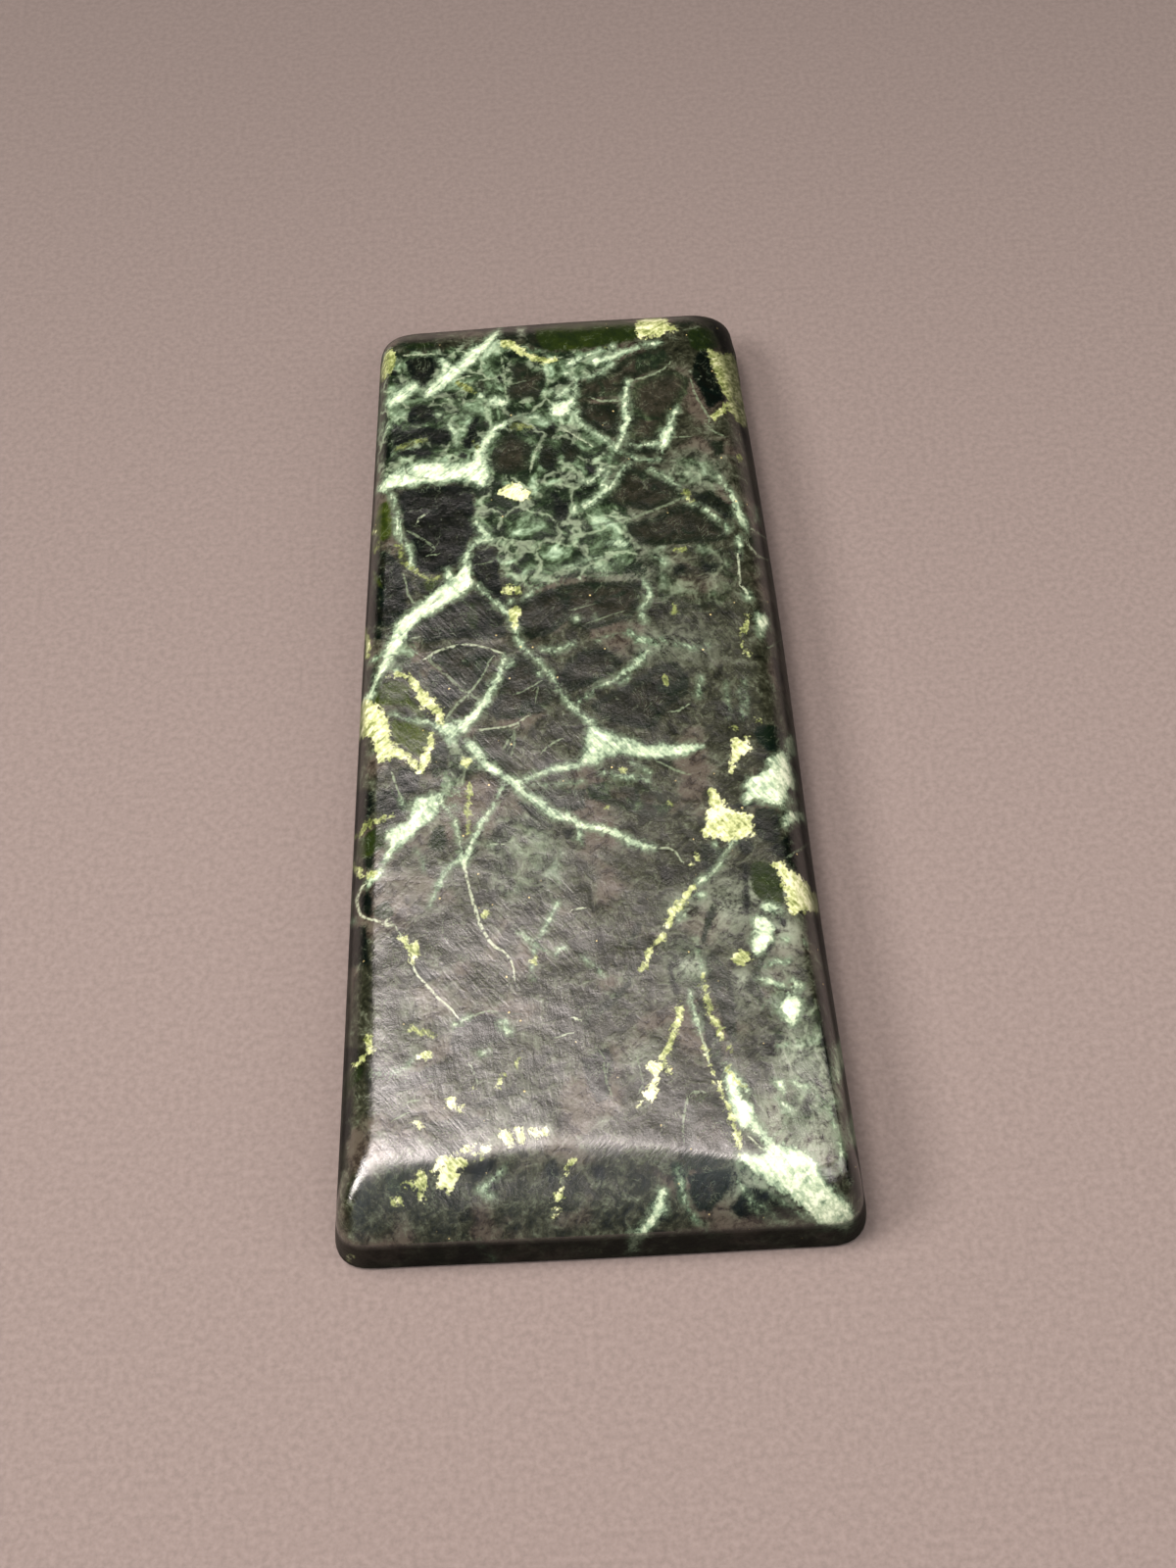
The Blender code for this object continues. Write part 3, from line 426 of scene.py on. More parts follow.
PALE_VEINS = [
    (0.5, [(6.8, -27.3, 0.1), (8.0, -28.6, 0.16), (9.3, -29.7, 0.12), (10.6, -30.7, 0.05)]),
    (0.45, [(6.6, -28.2, 0.06), (7.8, -29.5, 0.14), (9.0, -30.5, 0.06)]),
    (0.6, [(9.2, -26.4, 0.1), (10.4, -27.5, 0.22), (11.4, -29.0, 0.2), (12.2, -30.3, 0.1)]),
    (0.4, [(6.9, -26.7, 0.05), (8.3, -27.4, 0.14), (9.6, -28.5, 0.1)]),
    # Far end.
    (1.0, [(-3.2, 27.2, 0.2), (-3.5, 26.6, 0.4), (-4.0, 25.9, 0.7), (-4.6, 25.4, 0.9),
           (-5.3, 24.5, 0.8), (-5.9, 24.0, 0.9), (-6.5, 23.4, 0.9), (-7.0, 22.8, 0.9),
           (-7.6, 22.2, 0.5)]),
    (0.9, [(-6.7, 24.9, 0.5), (-6.4, 24.4, 0.6), (-6.5, 23.7, 0.6)]),
    (0.9, [(-3.3, 26.1, 0.4), (-3.0, 25.9, 0.4)]),
    (1.0, [(-4.4, 21.9, 0.45)]),
    (1.0, [(-3.6, 21.5, 0.7), (-3.2, 21.3, 0.6)]),
    (0.9, [(-6.9, 20.7, 0.4)]),
    (0.8, [(-6.3, 19.9, 0.4), (-6.0, 19.3, 0.25), (-5.9, 18.4, 0.25)]),
    (0.7, [(-8.4, 23.0, 0.7), (-9.2, 22.3, 1.0), (-9.8, 21.8, 0.8)]),
    (0.9, [(-9.3, 20.6, 0.25), (-10.7, 19.1, 0.25)]),
    (0.8, [(-10.1, 20.4, 0.2), (-10.8, 19.6, 0.2)]),
    (1.0, [(-3.0, 19.8, 0.3), (-3.6, 19.4, 0.5), (-4.0, 18.8, 0.6), (-4.4, 18.2, 0.5),
           (-4.7, 17.5, 0.7), (-4.6, 16.8, 0.9)]),
    (0.9, [(0.2, 21.6, 0.4), (0.6, 22.0, 0.35)]),
    (0.8, [(-0.3, 22.0, 0.3)]),
    (0.8, [(0.65, 23.3, 0.4)]),
    (0.7, [(-2.2, 20.2, 0.3), (-1.2, 20.1, 0.4), (-0.9, 19.8, 0.3)]),
    (0.6, [(-7.0, 25.4, 0.35)]),
    (0.85, [(2.4, 24.1, 0.6), (3.2, 24.3, 0.5), (4.2, 24.7, 0.4), (5.2, 25.1, 0.4),
            (6.3, 25.3, 0.3)]),
    (0.6, [(1.0, 22.9, 0.25), (2.0, 22.9, 0.25), (2.7, 23.2, 0.3), (3.4, 23.9, 0.4)]),
    (0.8, [(1.8, 24.6, 0.2), (3.2, 25.0, 0.3), (3.6, 25.2, 0.3)]),
    (0.8, [(0.9, 24.0, 0.5), (1.5, 24.4, 0.3)]),
    (0.8, [(1.3, 22.8, 0.4), (1.1, 22.0, 0.2), (1.1, 21.5, 0.2)]),
    (0.95, [(4.3, 22.4, 0.35), (4.1, 21.6, 0.35), (4.0, 20.8, 0.35), (4.0, 19.9, 0.4),
            (4.1, 19.5, 0.4), (3.8, 18.9, 0.4), (3.7, 18.2, 0.3), (3.4, 17.6, 0.3),
            (3.3, 17.2, 0.2)]),
    (0.8, [(1.1, 20.3, 0.3), (1.2, 19.5, 0.3), (1.9, 18.8, 0.3), (2.4, 18.4, 0.3),
           (2.9, 18.0, 0.2)]),
    (0.9, [(7.1, 20.2, 0.15), (6.8, 19.7, 0.35), (6.6, 19.0, 0.4), (6.3, 18.3, 0.7),
           (6.1, 17.6, 0.6), (5.9, 17.0, 0.3)]),
    (0.8, [(3.9, 17.7, 0.15), (4.6, 17.55, 0.2), (5.4, 17.6, 0.2), (5.9, 17.7, 0.3)]),
    (0.6, [(3.3, 17.2, 0.2), (3.9, 16.9, 0.2), (4.5, 16.5, 0.25), (5.2, 16.4, 0.3),
           (5.8, 16.4, 0.4)]),
    # Between the shoulder and the middle.
    (0.8, [(-9.7, 14.8, 0.3), (-9.5, 14.0, 0.2), (-9.4, 13.1, 0.25), (-9.4, 12.2, 0.35),
           (-9.1, 11.6, 0.3), (-8.8, 11.2, 0.3), (-8.7, 10.4, 0.25), (-8.7, 9.7, 0.3)]),
    (0.5, [(-10.0, 15.1, 0.2), (-9.6, 14.9, 0.2)]),
    (0.8, [(-5.0, 12.8, 0.3), (-4.6, 12.0, 0.5), (-4.2, 11.4, 0.4)]),
    (1.0, [(-4.0, 11.4, 0.3), (-5.0, 11.2, 0.3), (-5.3, 10.7, 0.3), (-5.6, 10.0, 0.35),
           (-5.6, 9.2, 0.7), (-5.8, 8.5, 1.3), (-6.6, 7.8, 1.3), (-7.5, 7.1, 1.1),
           (-8.4, 6.4, 0.9), (-9.2, 5.6, 0.9), (-9.5, 4.8, 0.9), (-9.8, 4.1, 0.8),
           (-10.2, 3.2, 0.45), (-10.6, 2.3, 0.35), (-10.9, 1.5, 0.4), (-11.4, 0.6, 0.8)]),
    (1.0, [(-6.6, 9.3, 0.3), (-6.4, 8.7, 0.5)]),
    (0.85, [(-4.9, 8.1, 0.2), (-4.6, 7.6, 0.22), (-4.0, 7.0, 0.26), (-3.6, 6.4, 0.26),
            (-3.2, 6.0, 0.3), (-3.0, 5.4, 0.36), (-2.9, 4.8, 0.3), (-2.7, 4.0, 0.28),
            (-2.3, 3.4, 0.24), (-1.8, 2.9, 0.24), (-1.4, 2.3, 0.24), (-1.1, 1.8, 0.24),
            (-0.8, 1.2, 0.26), (-0.6, 0.7, 0.2), (-0.4, 0.2, 0.22), (0.0, -0.4, 0.28),
            (0.4, -0.9, 0.26), (0.9, -1.3, 0.34)]),
    (1.0, [(-3.1, 6.9, 0.25)]),
    (0.7, [(-2.4, 7.0, 0.2), (-2.0, 7.5, 0.25), (-1.4, 7.9, 0.25)]),
    (0.8, [(-1.3, 8.4, 0.4)]),
    (0.9, [(1.3, 13.3, 0.45), (1.8, 13.7, 0.4), (2.3, 14.2, 0.4), (2.8, 14.6, 0.3),
           (3.2, 15.2, 0.25), (3.6, 15.9, 0.2), (4.1, 16.3, 0.2)]),
    (1.0, [(1.1, 15.15, 0.2), (1.5, 15.15, 0.25)]),
    (1.0, [(1.8, 15.2, 0.2), (2.2, 15.6, 0.2)]),
    (1.0, [(2.4, 15.9, 0.3)]),
    (1.0, [(2.4, 15.1, 0.25), (2.7, 15.6, 0.25)]),
    (1.0, [(2.3, 14.75, 0.3), (2.6, 14.7, 0.35)]),
    (0.9, [(0.7, 13.4, 0.2), (0.7, 12.9, 0.3)]),
    (0.85, [(5.2, 15.7, 0.3), (5.7, 15.4, 0.3), (6.0, 15.1, 0.2), (6.4, 14.7, 0.15),
            (6.7, 14.3, 0.15)]),
    (0.85, [(7.4, 13.0, 0.25), (7.9, 12.8, 0.2), (8.5, 12.3, 0.25), (8.9, 11.7, 0.3),
            (9.2, 11.4, 0.3), (9.4, 11.0, 0.2)]),
    (0.9, [(8.9, 15.3, 0.15), (9.2, 14.6, 0.2), (9.4, 14.2, 0.25), (9.7, 13.6, 0.3),
           (9.9, 13.0, 0.35), (10.0, 12.2, 0.45), (10.3, 11.5, 0.4), (10.4, 11.0, 0.15)]),
    (0.8, [(9.9, 10.5, 0.3), (9.9, 10.0, 0.3), (9.75, 9.2, 0.2)]),
    (0.8, [(10.0, 6.7, 0.3), (10.1, 6.3, 0.4)]),
    (0.6, [(11.1, 12.6, 0.3), (11.2, 11.5, 0.3)]),
    (0.45, [(-0.5, 9.0, 0.2), (0.5, 9.2, 0.3), (1.0, 9.5, 0.35), (2.0, 9.6, 0.25)]),
    (0.4, [(0.2, 8.9, 0.2), (2.0, 8.9, 0.25), (3.2, 9.3, 0.25)]),
    (0.6, [(5.1, 9.5, 0.3), (5.6, 9.0, 0.4)]),
    (0.85, [(4.1, 6.0, 0.25), (4.4, 6.3, 0.2), (4.6, 6.9, 0.3), (4.5, 7.5, 0.25),
            (4.3, 7.8, 0.15)]),
    (0.8, [(4.1, 5.6, 0.3), (4.2, 5.1, 0.3)]),
    (0.6, [(0.5, 5.5, 0.4)]),
    (0.5, [(1.5, 5.5, 0.3)]),
    # Middle.
    (0.5, [(-11.2, 3.3, 0.2), (-10.6, 3.7, 0.3), (-10.2, 4.0, 0.2)]),
    (0.95, [(-6.0, -1.2, 0.8), (-5.4, -0.6, 0.5), (-5.0, -0.1, 0.5), (-4.6, 0.6, 0.4),
            (-4.2, 1.4, 0.4), (-3.9, 2.0, 0.35), (-3.7, 2.7, 0.25), (-3.6, 3.4, 0.15)]),
    (0.7, [(-3.5, 2.5, 0.2), (-3.1, 2.8, 0.2)]),
    (0.9, [(-1.7, 2.0, 0.35)]),
    (0.8, [(-1.5, 3.5, 0.15), (-0.9, 3.4, 0.3), (-0.3, 3.6, 0.3), (0.2, 3.8, 0.2)]),
    (0.9, [(-6.7, -1.3, 1.1)]),
    (0.8, [(-9.8, -0.1, 0.2), (-9.2, -0.4, 0.22), (-8.6, -0.6, 0.3), (-7.9, -0.8, 0.3),
           (-7.2, -1.2, 0.5), (-6.6, -1.6, 0.8)]),
    (0.95, [(-5.6, -2.4, 0.6), (-5.1, -3.2, 0.5), (-4.6, -3.9, 0.5), (-3.9, -4.5, 0.45),
            (-3.2, -5.0, 0.45), (-2.9, -5.6, 0.4), (-2.4, -6.0, 0.45), (-2.0, -6.4, 0.6),
            (-1.5, -6.9, 0.55), (-1.0, -7.2, 0.5), (-0.4, -7.45, 0.4), (0.1, -7.8, 0.4),
            (0.6, -7.95, 0.35), (1.1, -8.1, 0.38), (1.6, -8.3, 0.36), (2.0, -8.5, 0.38),
            (2.4, -8.8, 0.45), (2.8, -9.1, 0.5), (3.3, -9.3, 0.45), (3.8, -9.4, 0.2)]),
    (0.5, [(0.0, -8.0, 0.3), (0.0, -8.7, 0.35), (0.1, -9.0, 0.15)]),
    (0.85, [(-3.6, -4.9, 0.2), (-2.9, -4.9, 0.3), (-2.2, -4.6, 0.4), (-1.5, -4.3, 0.4),
            (-0.8, -4.2, 0.4), (0.0, -4.1, 0.5)]),
    (0.5, [(-2.5, -5.2, 0.15), (-1.5, -5.2, 0.2), (0.0, -5.2, 0.2), (0.4, -5.0, 0.15)]),
    (0.75, [(4.2, 3.0, 0.4), (3.8, 2.5, 0.5), (3.4, 2.0, 0.4), (2.7, 1.6, 0.25),
            (2.3, 1.2, 0.25), (1.6, 1.0, 0.22), (1.1, 0.6, 0.2), (0.7, 0.2, 0.2),
            (0.2, -0.1, 0.15)]),
    (0.6, [(3.1, 1.3, 0.2), (2.6, 1.05, 0.2)]),
    (0.6, [(7.1, 1.2, 0.2), (7.0, 0.8, 0.28), (6.9, 0.3, 0.3), (6.8, -0.1, 0.25)]),
    (0.35, [(3.4, 4.4, 0.5), (3.8, 3.9, 0.6), (4.6, 3.6, 0.5), (4.8, 3.4, 0.4)]),
    (0.2, [(5.0, 3.8, 0.4), (6.0, 3.4, 0.5), (6.8, 3.1, 0.5), (7.6, 3.2, 0.4)]),
    (0.3, [(1.6, 3.9, 0.3), (2.2, 4.2, 0.3), (2.8, 4.3, 0.3), (3.4, 4.2, 0.3)]),
    (0.7, [(9.4, 0.7, 0.15), (9.2, 0.0, 0.25), (9.3, -0.5, 0.25), (9.2, -1.0, 0.25),
           (9.2, -1.6, 0.2)]),
    (0.35, [(8.4, 0.7, 0.15), (8.4, -1.5, 0.2)]),
    (0.7, [(1.2, -4.6, 0.15), (2.2, -4.9, 0.25), (3.2, -5.1, 0.3), (3.7, -5.3, 0.25)]),
    (0.6, [(3.0, -4.1, 0.2), (3.5, -4.5, 0.2), (3.9, -4.8, 0.2)]),
    (0.6, [(11.0, -6.9, 0.3), (11.6, -7.0, 0.35)]),
    # Near half, left.
    (0.95, [(-7.3, -5.5, 0.4), (-7.1, -6.1, 0.18), (-6.8, -6.6, 0.18), (-6.5, -7.2, 0.22),
            (-6.4, -7.5, 0.22), (-6.35, -8.0, 0.18), (-6.3, -8.5, 0.18), (-6.2, -9.0, 0.2),
            (-6.15, -9.4, 0.5), (-6.1, -9.8, 0.22)]),
    (0.95, [(-3.8, -5.0, 0.3), (-4.1, -5.5, 0.18), (-4.3, -6.0, 0.22), (-4.6, -6.5, 0.22),
            (-5.0, -7.1, 0.32), (-5.3, -7.6, 0.32), (-5.5, -8.2, 0.42), (-5.7, -8.7, 0.36),
            (-5.9, -9.2, 0.4), (-6.2, -9.5, 0.4), (-6.6, -9.7, 0.22)]),
    (0.5, [(-6.6, -9.75, 0.25), (-7.0, -10.0, 0.3), (-7.2, -10.4, 0.4), (-7.4, -11.0, 0.42),
           (-7.7, -11.6, 0.32), (-7.9, -12.2, 0.15)]),
    (0.4, [(-6.6, -6.2, 0.4), (-6.4, -6.4, 0.3)]),
    (0.6, [(-9.6, -5.1, 0.15), (-9.3, -5.9, 0.2), (-9.1, -6.4, 0.2)]),
    (0.95, [(-10.5, -9.9, 0.3), (-10.6, -10.1, 0.4), (-11.0, -10.4, 0.4), (-11.2, -10.7, 0.3)]),
    (0.5, [(-8.7, -8.7, 0.12), (-8.4, -9.1, 0.15), (-8.2, -9.5, 0.15), (-8.2, -9.9, 0.1)]),
    (0.8, [(-12.3, -12.8, 0.3), (-12.0, -12.7, 0.2)]),
    (0.55, [(-3.7, -13.8, 0.15), (-3.3, -14.1, 0.25), (-2.9, -14.4, 0.3), (-2.5, -14.8, 0.35),
            (-2.2, -15.1, 0.3), (-1.8, -15.3, 0.2), (-1.5, -15.4, 0.15)]),
    (0.9, [(-1.4, -15.12, 0.15), (-1.15, -15.1, 0.15)]),
    (0.6, [(-1.3, -12.3, 0.25), (-1.5, -12.8, 0.25), (-1.8, -13.4, 0.25), (-2.1, -14.0, 0.25),
           (-2.4, -14.5, 0.25), (-2.6, -15.0, 0.22), (-2.65, -15.4, 0.2)]),
    (0.5, [(-2.75, -15.8, 0.3), (-2.8, -16.4, 0.3), (-2.7, -16.7, 0.15)]),
    (0.5, [(-0.2, -15.6, 0.1), (0.4, -16.2, 0.15), (0.9, -16.8, 0.12)]),
    (0.95, [(-6.8, -19.1, 0.1), (-6.4, -18.9, 0.22), (-6.0, -18.7, 0.15)]),
    (0.5, [(-10.8, -21.5, 0.4), (-10.0, -21.6, 0.3), (-9.2, -21.2, 0.3), (-8.8, -20.8, 0.4)]),
    (0.9, [(-5.5, -20.75, 0.1), (-5.2, -20.7, 0.15)]),
    # Near half, right.
    (0.95, [(8.2, -9.2, 0.15), (7.9, -9.4, 0.22), (7.7, -9.8, 0.18), (7.4, -10.3, 0.15),
            (7.1, -10.8, 0.22), (6.8, -11.2, 0.18), (6.4, -11.4, 0.22), (6.0, -11.7, 0.18)]),
    (0.9, [(5.7, -12.4, 0.3), (6.1, -12.4, 0.25)]),
    (0.9, [(4.8, -13.7, 0.25), (5.2, -13.5, 0.25)]),
    (0.8, [(7.1, -9.45, 0.25), (7.1, -9.65, 0.2)]),
    (0.6, [(5.75, -15.0, 0.1), (5.8, -16.0, 0.15), (5.85, -17.0, 0.17)]),
    (0.3, [(9.0, -16.8, 0.3), (9.6, -16.5, 0.5), (10.3, -16.6, 0.4)]),
    (0.8, [(8.6, -17.4, 0.2), (9.3, -17.7, 0.4), (9.8, -17.9, 0.3)]),
    (0.8, [(5.15, -18.0, 0.15), (5.2, -18.5, 0.26), (5.3, -19.2, 0.28), (5.4, -19.8, 0.18),
           (5.5, -20.3, 0.14)]),
    (0.5, [(9.2, -21.3, 0.3), (9.8, -21.2, 0.25)]),
    (1.0, [(9.0, -23.1, 0.15), (9.2, -23.35, 0.34), (9.4, -23.7, 0.15)]),
    (1.0, [(9.1, -24.1, 0.15), (9.3, -24.4, 0.25), (9.6, -24.65, 0.15)]),
    (0.95, [(10.0, -23.3, 0.3), (10.3, -23.6, 0.3), (10.7, -23.5, 0.3), (10.8, -23.8, 0.2),
            (11.0, -24.1, 0.15), (11.3, -24.3, 0.14), (11.8, -24.3, 0.14), (12.0, -24.6, 0.12)]),
    (0.9, [(11.6, -24.8, 0.12), (11.65, -25.3, 0.12), (11.75, -26.0, 0.14), (11.9, -26.6, 0.2),
           (11.85, -27.4, 0.14), (11.8, -28.1, 0.1)]),
    (0.5, [(4.0, -27.4, 0.2), (4.05, -28.2, 0.3), (4.15, -28.9, 0.25), (4.3, -29.5, 0.22),
           (4.6, -30.0, 0.18), (5.0, -30.4, 0.14), (5.3, -30.7, 0.1)]),
    (0.7, [(6.8, -28.2, 0.2), (7.0, -28.6, 0.2), (7.2, -29.0, 0.18), (7.6, -29.6, 0.14),
           (7.9, -30.2, 0.1)]),
    (0.5, [(-6.0, -30.6, 0.2), (-5.4, -31.4, 0.3)]),
]

# The tone of a warm marking runs from 0, olive yellow, to 1, cream.
WARM_AREAS = [
    (0.6, [(-10.3, 25.0), (-10.0, 25.9), (-9.6, 26.0), (-9.4, 25.2), (-9.7, 24.2),
           (-10.3, 23.6), (-10.55, 23.4), (-10.5, 24.3)]),
    (0.8, [(5.1, 27.4), (6.9, 27.4), (6.9, 26.7), (7.5, 26.5), (7.4, 26.2), (7.0, 26.0),
           (5.9, 25.8), (5.3, 25.6), (5.0, 26.0)]),
    (0.7, [(9.1, 24.7), (10.0, 24.2), (10.9, 24.3), (11.3, 22.0), (11.3, 18.6), (10.8, 18.6),
           (10.3, 19.4), (10.0, 19.9), (10.2, 20.4), (9.8, 21.2), (9.5, 22.6), (9.3, 23.8)]),
    (1.0, [(-3.7, 14.6), (-3.2, 15.1), (-2.7, 15.4), (-2.3, 15.3), (-2.2, 14.9), (-1.8, 14.6),
           (-1.8, 14.2), (-2.2, 13.9), (-2.7, 14.0), (-3.3, 14.3)]),
    (0.7, [(-3.2, 6.4), (-2.7, 6.6), (-2.5, 6.2), (-2.7, 5.7), (-2.8, 5.0), (-3.1, 5.1),
           (-3.3, 5.8)]),
    (0.7, [(-3.6, 7.8), (-3.1, 8.0), (-2.6, 7.9), (-2.5, 7.5), (-3.0, 7.4), (-3.5, 7.5)]),
    (0.85, [(-11.8, 0.9), (-11.0, 0.9), (-10.3, 0.1), (-10.0, -0.4), (-9.9, -1.3),
            (-9.8, -2.2), (-9.3, -2.6), (-8.8, -3.1), (-8.4, -3.5), (-8.2, -4.1), (-8.5, -3.9),
            (-9.0, -3.3), (-9.6, -2.8), (-10.3, -3.2), (-10.7, -2.6), (-10.9, -2.0),
            (-11.0, -1.3), (-11.9, -1.6)]),
    (0.9, [(8.4, -3.0), (8.9, -3.0), (9.5, -3.6), (9.3, -3.9), (8.9, -4.1), (8.5, -4.5),
           (8.3, -5.2), (8.1, -5.0), (8.2, -4.4), (8.4, -3.8)]),
    (0.9, [(7.0, -5.9), (7.3, -6.2), (7.5, -6.5), (7.5, -6.8), (7.9, -7.2), (8.2, -7.5),
           (8.7, -7.5), (9.1, -7.8), (9.1, -8.4), (9.2, -8.9), (8.8, -9.2), (8.2, -9.1),
           (7.8, -9.4), (7.3, -9.2), (6.8, -9.0), (6.4, -8.9), (6.4, -8.6), (6.6, -8.3),
           (6.7, -7.9), (6.8, -7.4), (6.95, -7.0), (6.95, -6.4)]),
    (0.9, [(9.8, -10.6), (10.3, -10.5), (10.6, -10.9), (10.9, -11.3), (11.3, -11.6),
           (11.7, -12.0), (12.0, -12.4), (12.4, -12.7), (12.3, -13.1), (12.4, -13.8),
           (11.9, -13.7), (11.2, -13.7), (10.6, -13.9), (10.5, -13.3), (10.4, -12.6),
           (10.4, -12.1), (10.3, -11.6), (10.1, -11.1)]),
    (0.7, [(7.6, -15.9), (7.9, -15.7), (8.2, -16.0), (8.5, -16.4), (8.2, -16.5), (7.9, -16.6),
           (7.5, -16.5), (7.4, -16.2)]),
    (0.7, [(-9.0, -14.4), (-8.7, -14.2), (-8.5, -14.5), (-8.5, -15.2), (-8.8, -15.6),
           (-9.0, -15.3), (-9.0, -14.8)]),
    (0.9, [(-7.3, -23.1), (-7.0, -23.0), (-6.8, -23.3), (-6.5, -23.6), (-6.3, -23.8),
           (-6.6, -23.9), (-6.8, -23.6), (-7.2, -23.6)]),
    (0.9, [(-4.6, -24.9), (-4.1, -25.0), (-4.0, -25.7), (-4.4, -25.8), (-4.7, -25.4)]),
    (0.9, [(-3.9, -24.7), (-3.5, -24.9), (-3.5, -25.8), (-3.9, -25.7)]),
    (0.9, [(-3.3, -25.0), (-2.9, -24.9), (-2.3, -24.9), (-2.3, -25.3), (-2.8, -25.5),
           (-3.3, -25.4)]),
    (0.9, [(-6.6, -25.8), (-6.2, -25.6), (-6.2, -26.0), (-6.5, -26.1)]),
    (0.9, [(-5.7, -25.8), (-5.2, -25.7), (-5.3, -26.1), (-5.6, -26.5), (-5.7, -26.2)]),
    (1.0, [(-8.0, -26.7), (-7.8, -26.3), (-7.4, -26.3), (-7.3, -26.2), (-6.9, -26.1),
           (-6.4, -26.3), (-6.3, -26.7), (-6.6, -26.8), (-6.9, -26.8), (-6.8, -27.2),
           (-7.0, -27.6), (-7.1, -28.0), (-7.3, -28.2), (-7.5, -27.6), (-7.8, -27.9),
           (-7.9, -27.6), (-7.6, -27.2), (-7.7, -26.9), (-7.95, -26.9)]),
    (0.75, [(-9.5, -27.5), (-9.2, -27.3), (-8.9, -27.3), (-8.7, -26.9), (-8.4, -26.6),
            (-8.5, -27.0), (-8.2, -27.2), (-8.3, -27.6), (-8.5, -27.8), (-9.0, -27.8),
            (-9.4, -27.7)]),
    (0.9, [(-8.9, -28.0), (-8.5, -27.9), (-8.5, -28.2), (-8.6, -28.4), (-8.8, -28.3)]),
    (0.7, [(-10.2, -28.2), (-9.9, -28.0), (-9.6, -28.2), (-9.7, -28.6), (-10.0, -28.6)]),
    (1.0, [(2.7, -21.9), (3.0, -21.7), (3.3, -21.9), (3.4, -21.6), (3.6, -21.6), (3.5, -22.0),
           (3.3, -22.3), (3.2, -22.6), (3.1, -22.9), (3.2, -23.3), (3.1, -23.7), (2.9, -23.9),
           (2.6, -23.8), (2.4, -23.4), (2.7, -23.1), (3.0, -22.6), (3.0, -22.2), (2.7, -22.1)]),
]
